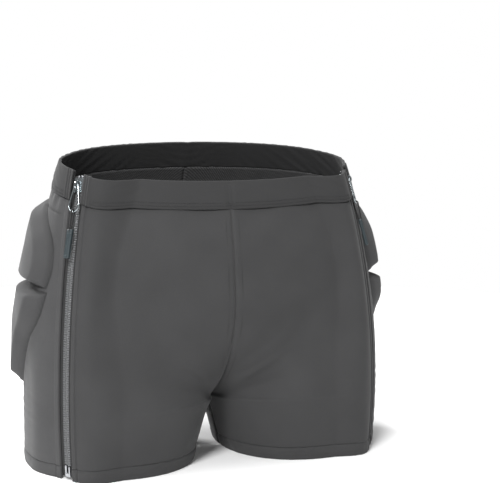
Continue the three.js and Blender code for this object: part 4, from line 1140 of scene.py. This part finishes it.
def pull_grip():
    """Moulded grip: rounded bar, a little waisted, with a collar, grip ribs and a sunk panel."""
    start, finish = LOOP_END - GRIP_OVERLAP, LOOP_END - GRIP_OVERLAP + GRIP_LENGTH
    along = np.concatenate([start + np.array([0, 0.15, 0.5, 1.0, 1.6]),
                            np.linspace(start + 2, finish - 2, 64),
                            finish - np.array([1.6, 1.0, 0.5, 0.15, 0])])
    part = (along - start) / GRIP_LENGTH
    end = np.minimum(along - start, finish - along)
    inset = 1.6 * (1 - np.sqrt(1 - np.clip((1.6 - end) / 1.6, 0, 1) ** 2))
    collar = 0.32 * np.exp(-(((along - start - 5.2) / 0.5) ** 2))
    waist = 0.35 * np.sin(math.pi * part) ** 2
    half_x = GRIP_WIDTH / 2 - 0.2 - inset - waist * 0.6 + collar * 0.6
    half_z = GRIP_THICKNESS / 2 - 0.2 - inset * 0.8 - waist * 0.4 + collar * 0.6
    turn = np.linspace(0, 2 * math.pi, 48, endpoint=False)[None]
    x = half_x[:, None] * signed_power(np.cos(turn), 2 / 3.6)
    z = half_z[:, None] * signed_power(np.sin(turn), 2 / 3.6)
    ribbed = smooth((part - 0.3) / 0.04) * smooth((0.93 - part) / 0.04)
    ribs = 0.16 * (0.5 + 0.5 * np.cos(2 * math.pi * (along - start) / 1.9)) * ribbed
    panel = smooth((2.5 - np.abs(x)) / 0.5) * ribbed[:, None]
    z = z - np.sign(z) * panel * (0.34 - ribs[:, None])
    rings = on_slider(np.broadcast_to(along[:, None], x.shape), x, z + PULL_HEIGHT)
    return tube(rings)


# ---- stitching ----
def stitch_shape(half=1.05, radius=0.2):
    """One stitch: a short six-sided thread with drawn-in ends, along X, with Z out."""
    rows = np.array([[-half, 0.35], [-half * 0.7, 0.95], [0, 1.15], [half * 0.7, 0.95], [half, 0.35]])
    turn = np.linspace(0, 2 * math.pi, 6, endpoint=False)
    x = np.broadcast_to(rows[:, :1], (len(rows), 6))
    y = radius * rows[:, 1:] * np.cos(turn)[None]
    z = radius * rows[:, 1:] * np.sin(turn)[None]
    dip = -0.35 * (np.abs(rows[:, :1]) / half) ** 2
    return tube(np.stack([x, y, z + dip], -1))


def stitches(line, out, pitch=2.8):
    """Stitches along a line of points with outward directions, at an even pitch."""
    length = np.concatenate([[0], np.cumsum(np.linalg.norm(np.diff(line, axis=0), axis=1))])
    at = np.arange(pitch / 2, length[-1] - pitch / 3, pitch)
    take = lambda values: np.stack([np.interp(at, length, values[:, k]) for k in range(3)], -1)
    centre, normal = take(line), unit(take(out))
    step = np.stack([np.interp(at + 0.5, length, line[:, k]) for k in range(3)], -1)
    ahead = unit(step - centre)
    normal = unit(normal - ahead * np.einsum("ij,ij->i", normal, ahead)[:, None])
    axes = np.stack([ahead, np.cross(normal, ahead), normal], 1)
    return repeated(stitch_shape(), centre + normal * 0.12, axes)


def level_row(side, level, out, stop, whole):
    """A row of stitches round the front or back at one level, up to `stop` mm from the chain."""
    levels = np.full(120, level)
    end = edge_share(levels[:1], side, stop)[0]
    seam = 0.0 if side < 0 else 1.0
    if level < 0:
        seam = abs(seam - SEAM_SHARE * 4)
    share = np.linspace(seam, end, 120)
    line, normal = on_body(share, levels, out), body_normal(share, levels)
    if whole:
        line = np.concatenate([line[:0:-1] * [-1, 1, 1], line])
        normal = np.concatenate([normal[:0:-1] * [-1, 1, 1], normal])
    return stitches(line, normal)


def upright_row(side, distance, low, high, out):
    """A row of stitches beside the zip between two levels."""
    levels = np.linspace(low, high, 120)
    share = edge_share(levels, side, distance)
    return stitches(on_body(share, levels, out), body_normal(share, levels))


def make_cloth():
    shape, uv = front_skin()
    fronts = both_sides("front_skin", shape, "garment", SHELL, ["front_panel"], uv)
    shape, uv, painted_crease_shade = back_skin()
    for skin in both_sides("back_skin", shape, "garment", SIDE, ["back_panel"], uv):
        # per-point painted shade for the grooves round the pads and the yoke seam
        values = skin.data.attributes.new("painted_crease_shade", "FLOAT", "POINT")
        values.data.foreach_set("value", painted_crease_shade.astype(np.float32))
    shape, uv = lining()
    linings = both_sides("mesh_lining", shape, "garment", MESH, ["lining"], uv)
    for word, side in (("front", -1), ("back", 1)):
        piece(f"waistband_casing_{word}", waistband(side), "garment", BAND,
              [f"waistband_{word}"], band_uv(side))
        piece(f"ribbed_elastic_{word}", waist_elastic(side), "garment", ELASTIC,
              [f"waist_elastic_{word}"])
        rings = leg_hem(side)
        cloth = SHELL if side < 0 else SIDE
        both_sides(f"folded_hem_{word}", tube(rings), "garment", cloth,
                   [f"leg_hem_{word}"], ring_uv(rings, 2))


def band_uv(side):
    """Thread coordinates for the casing, the same on its skin and in its tunnel."""
    uv = ring_uv(band_rings(side, CASING_PROFILE, PANEL_EDGE))
    return np.concatenate([uv, uv])


def foam_pad(name):
    """Foam pad: its patch of the body, from just over the lining up to the pad's sloped height,
    with rounded edges. Across, its lines are parabolas through each row; up, Catmull-Rom curves."""
    thick, wall, slopes, rows = PADS[name]
    rows = np.array(rows, float)
    p = np.linspace(0, 1, 56)[None]
    q = np.linspace(0, 1, 72)
    curves = [spline(rows[:, k], q)[:, None] for k in range(3)]
    weights = [2 * (p - 0.5) * (p - 1), 4 * p * (1 - p), 2 * p * (p - 0.5)]
    patch = sum(curve * weight[..., None] for curve, weight in zip(curves, weights))
    degrees, level = patch[..., 0], patch[..., 1]
    share = share_at_angle(degrees, level)
    base, out = body(share, level), body_normal(share, level)
    mirror = np.where(degrees < 0, -1.0, 1.0)[..., None] * [1, 0, 0] + [0, 1, 1]
    base, out = base * mirror, out * mirror
    place = pad_place(share, level)
    distances = inside_distances(name, np.sign(degrees) * place[0], *place[1:])
    climb = [rounded_ramp(d / s, FOLD_RADIUS / s) for d, s in zip(distances, slopes)]
    up = climb[0] * climb[1] * climb[2] * climb[3]
    least = np.maximum(np.minimum.reduce(distances), 0)
    corner = 1.4 * (1 - np.sqrt(1 - np.clip(1 - least / 1.4, 0, 1) ** 2))
    height = np.maximum(wall + (thick - wall) * up - corner, 1.3)
    return slab(base + out * height[..., None], base + out * 1.1)


def make_pads():
    for name in PADS:
        shape = foam_pad(name)
        if name == "tailbone_pad":
            pads = [piece("foam_tailbone_pad", shape, "garment", FOAM, [name])]
        else:
            pads = both_sides(f"foam_{name}", shape, "garment", FOAM, [name])


def make_zips():
    for word, side in (("front", -1), ("back", 1)):
        shape, uv = zip_tape(side)
        both_sides(f"woven_tape_{word}", shape, "garment", TAPE, [f"zip_tape_{word}"], uv)
        both_sides(f"teeth_{word}", zip_teeth(side), "garment", TOOTH,
                   [f"zip_teeth_{word}"])
        both_sides(f"stop_{word}", top_stop(side), "garment", SATIN,
                   [f"zip_top_stop_{word}"])
    both_sides("retaining_box", zip_box(), "garment", SATIN, ["zip_box"])
    both_sides("insertion_pin", zip_pin(), "garment", SATIN, ["zip_pin"])
    shape, uv = pull_ring()
    both_sides("wire_ring", shape, "ring", CHROME, ["pull_ring"], uv)
    shape, uv = pull_loop()
    both_sides("cord_loop", shape, "grip", CORD, ["pull_loop"], uv)
    both_sides("moulded_grip", pull_grip(), "grip", RUBBER, ["pull_grip"])


def polished_copy(node, name, body_name, material, width):
    """A CAD piece with its edges rounded: merged, freed of flat divisions, and bevelled."""
    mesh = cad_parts[node].data.copy()
    mesh.name = name
    work = bmesh.new()
    work.from_mesh(mesh)
    bmesh.ops.remove_doubles(work, verts=work.verts, dist=2e-6)
    bmesh.ops.dissolve_limit(work, angle_limit=math.radians(2), verts=work.verts, edges=work.edges)
    for face in work.faces:
        face.smooth = True
    work.to_mesh(mesh)
    work.free()
    thing = bpy.data.objects.new(name, mesh)
    bpy.context.scene.collection.objects.link(thing)
    mesh.materials.clear()
    mesh.materials.append(material)
    rounding = thing.modifiers.new("rounded_edges", "BEVEL")
    rounding.width = width
    rounding.segments = 3
    rounding.limit_method = "ANGLE"
    rounding.angle_limit = math.radians(28)
    rounding.harden_normals = True
    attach(thing, body_name)
    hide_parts(node)
    return thing


def make_stitching():
    for side, word in ((-1, "front"), (1, "back")):
        rows = [
            level_row(side, BAND_LEVEL + v * BAND_LEVELS_PER_MM, 3.55, 18.5, True)
            for v in (3.0, 6.2)
        ]
        piece(f"waist_stitches_{word}", joined(*rows), "garment", THREAD)
        rows = [level_row(side, -1 + v * HEM_LEVELS_PER_MM, 2.3, 14, False) for v in (9.4,)]
        both_sides(f"hem_stitches_{word}", joined(*rows), "garment", THREAD)
        low, high = HEM_LEVEL + 0.02, BAND_LEVEL - 0.01
        edge = upright_row(side, 13.0, low, high, 2.6)
        ends = [upright_row(side, d, BAND_LEVEL + 0.012, 1 - 0.012, 3.9) for d in (14.0, 11.0)]
        both_sides(f"zip_stitches_{word}", joined(edge, *ends), "garment", THREAD)
    levels = np.linspace(0.06, BAND_LEVEL - 0.01, 160)
    for word, seam, out in (("front", 0.0, 1.5), ("back", 1.0, 2.5)):
        if word == "back":
            levels = np.linspace(0.8, BAND_LEVEL - 0.01, 40)
        share = np.full_like(levels, abs(seam - 0.0085))
        line = stitches(on_body(share, levels, out), body_normal(share, levels))
        both_sides(f"middle_stitches_{word}", line, "garment", THREAD)
    yoke = level_row(1, YOKE_LEVEL, 2.15, 18, False)
    both_sides("yoke_stitches", yoke, "garment", THREAD)


make_cloth()
make_pads()
make_zips()
for hand in ("left", "right"):
    polished_copy(
        f"zip_slider_{hand}", f"slider_body_{hand}", f"slider_{hand}", CHROME, 0.0003
    )
make_stitching()


# ---- floor and light ----
FLOOR_RADIUS = 1.25


def make_floor():
    """Pale round floor under the shorts."""
    turn = np.linspace(0, 2 * math.pi, 96, endpoint=False)
    rim = FLOOR_RADIUS * np.stack([np.cos(turn), np.sin(turn), 0 * turn], -1)
    mesh = bpy.data.meshes.new("floor")
    mesh.from_pydata(rim.tolist(), [], [list(range(len(rim)))])
    floor = bpy.data.objects.new("floor", mesh)
    bpy.context.scene.collection.objects.link(floor)
    material, _, shader = new_material("pale_floor")
    shader.inputs["Base Color"].default_value = (0.95, 0.95, 0.95, 1)
    shader.inputs["Roughness"].default_value = 0.9
    mesh.materials.append(material)


def make_light(name, place, size, power, target=(0, 0, 0.17)):
    """Soft square light aimed at the shorts."""
    data = bpy.data.lights.new(name, "AREA")
    data.size = size
    data.energy = power
    light = bpy.data.objects.new(name, data)
    bpy.context.scene.collection.objects.link(light)
    light.location = place
    light.rotation_euler = (Vector(target) - Vector(place)).to_track_quat("-Z", "Y").to_euler()


make_floor()
make_light("key", (-1.6, -1.9, 2.5), 0.9, 112)
make_light("fill", (2.2, -2.0, 1.3), 2.0, 8)
make_light("top", (-0.2, 0.1, 2.6), 1.4, 48)
make_light("rear", (-1.4, 2.0, 1.9), 0.8, 70)
WORLD_LIGHT, WORLD_SEEN = 0.28, 1.0  # its light on the shorts, and its brightness behind them
world = bpy.data.worlds.new("studio")
world.use_nodes = True
world.node_tree.nodes["Background"].inputs[0].default_value = (1, 1, 1, 1)
sky = Nodes(world.node_tree)
seen = sky.add("ShaderNodeLightPath").outputs["Is Camera Ray"]
strength = sky.add("ShaderNodeMapRange", {0: seen, 3: WORLD_LIGHT, 4: WORLD_SEEN}).outputs[0]
world.node_tree.links.new(strength, world.node_tree.nodes["Background"].inputs[1])
bpy.context.scene.world = world
bpy.context.scene.view_settings.view_transform = "Standard"
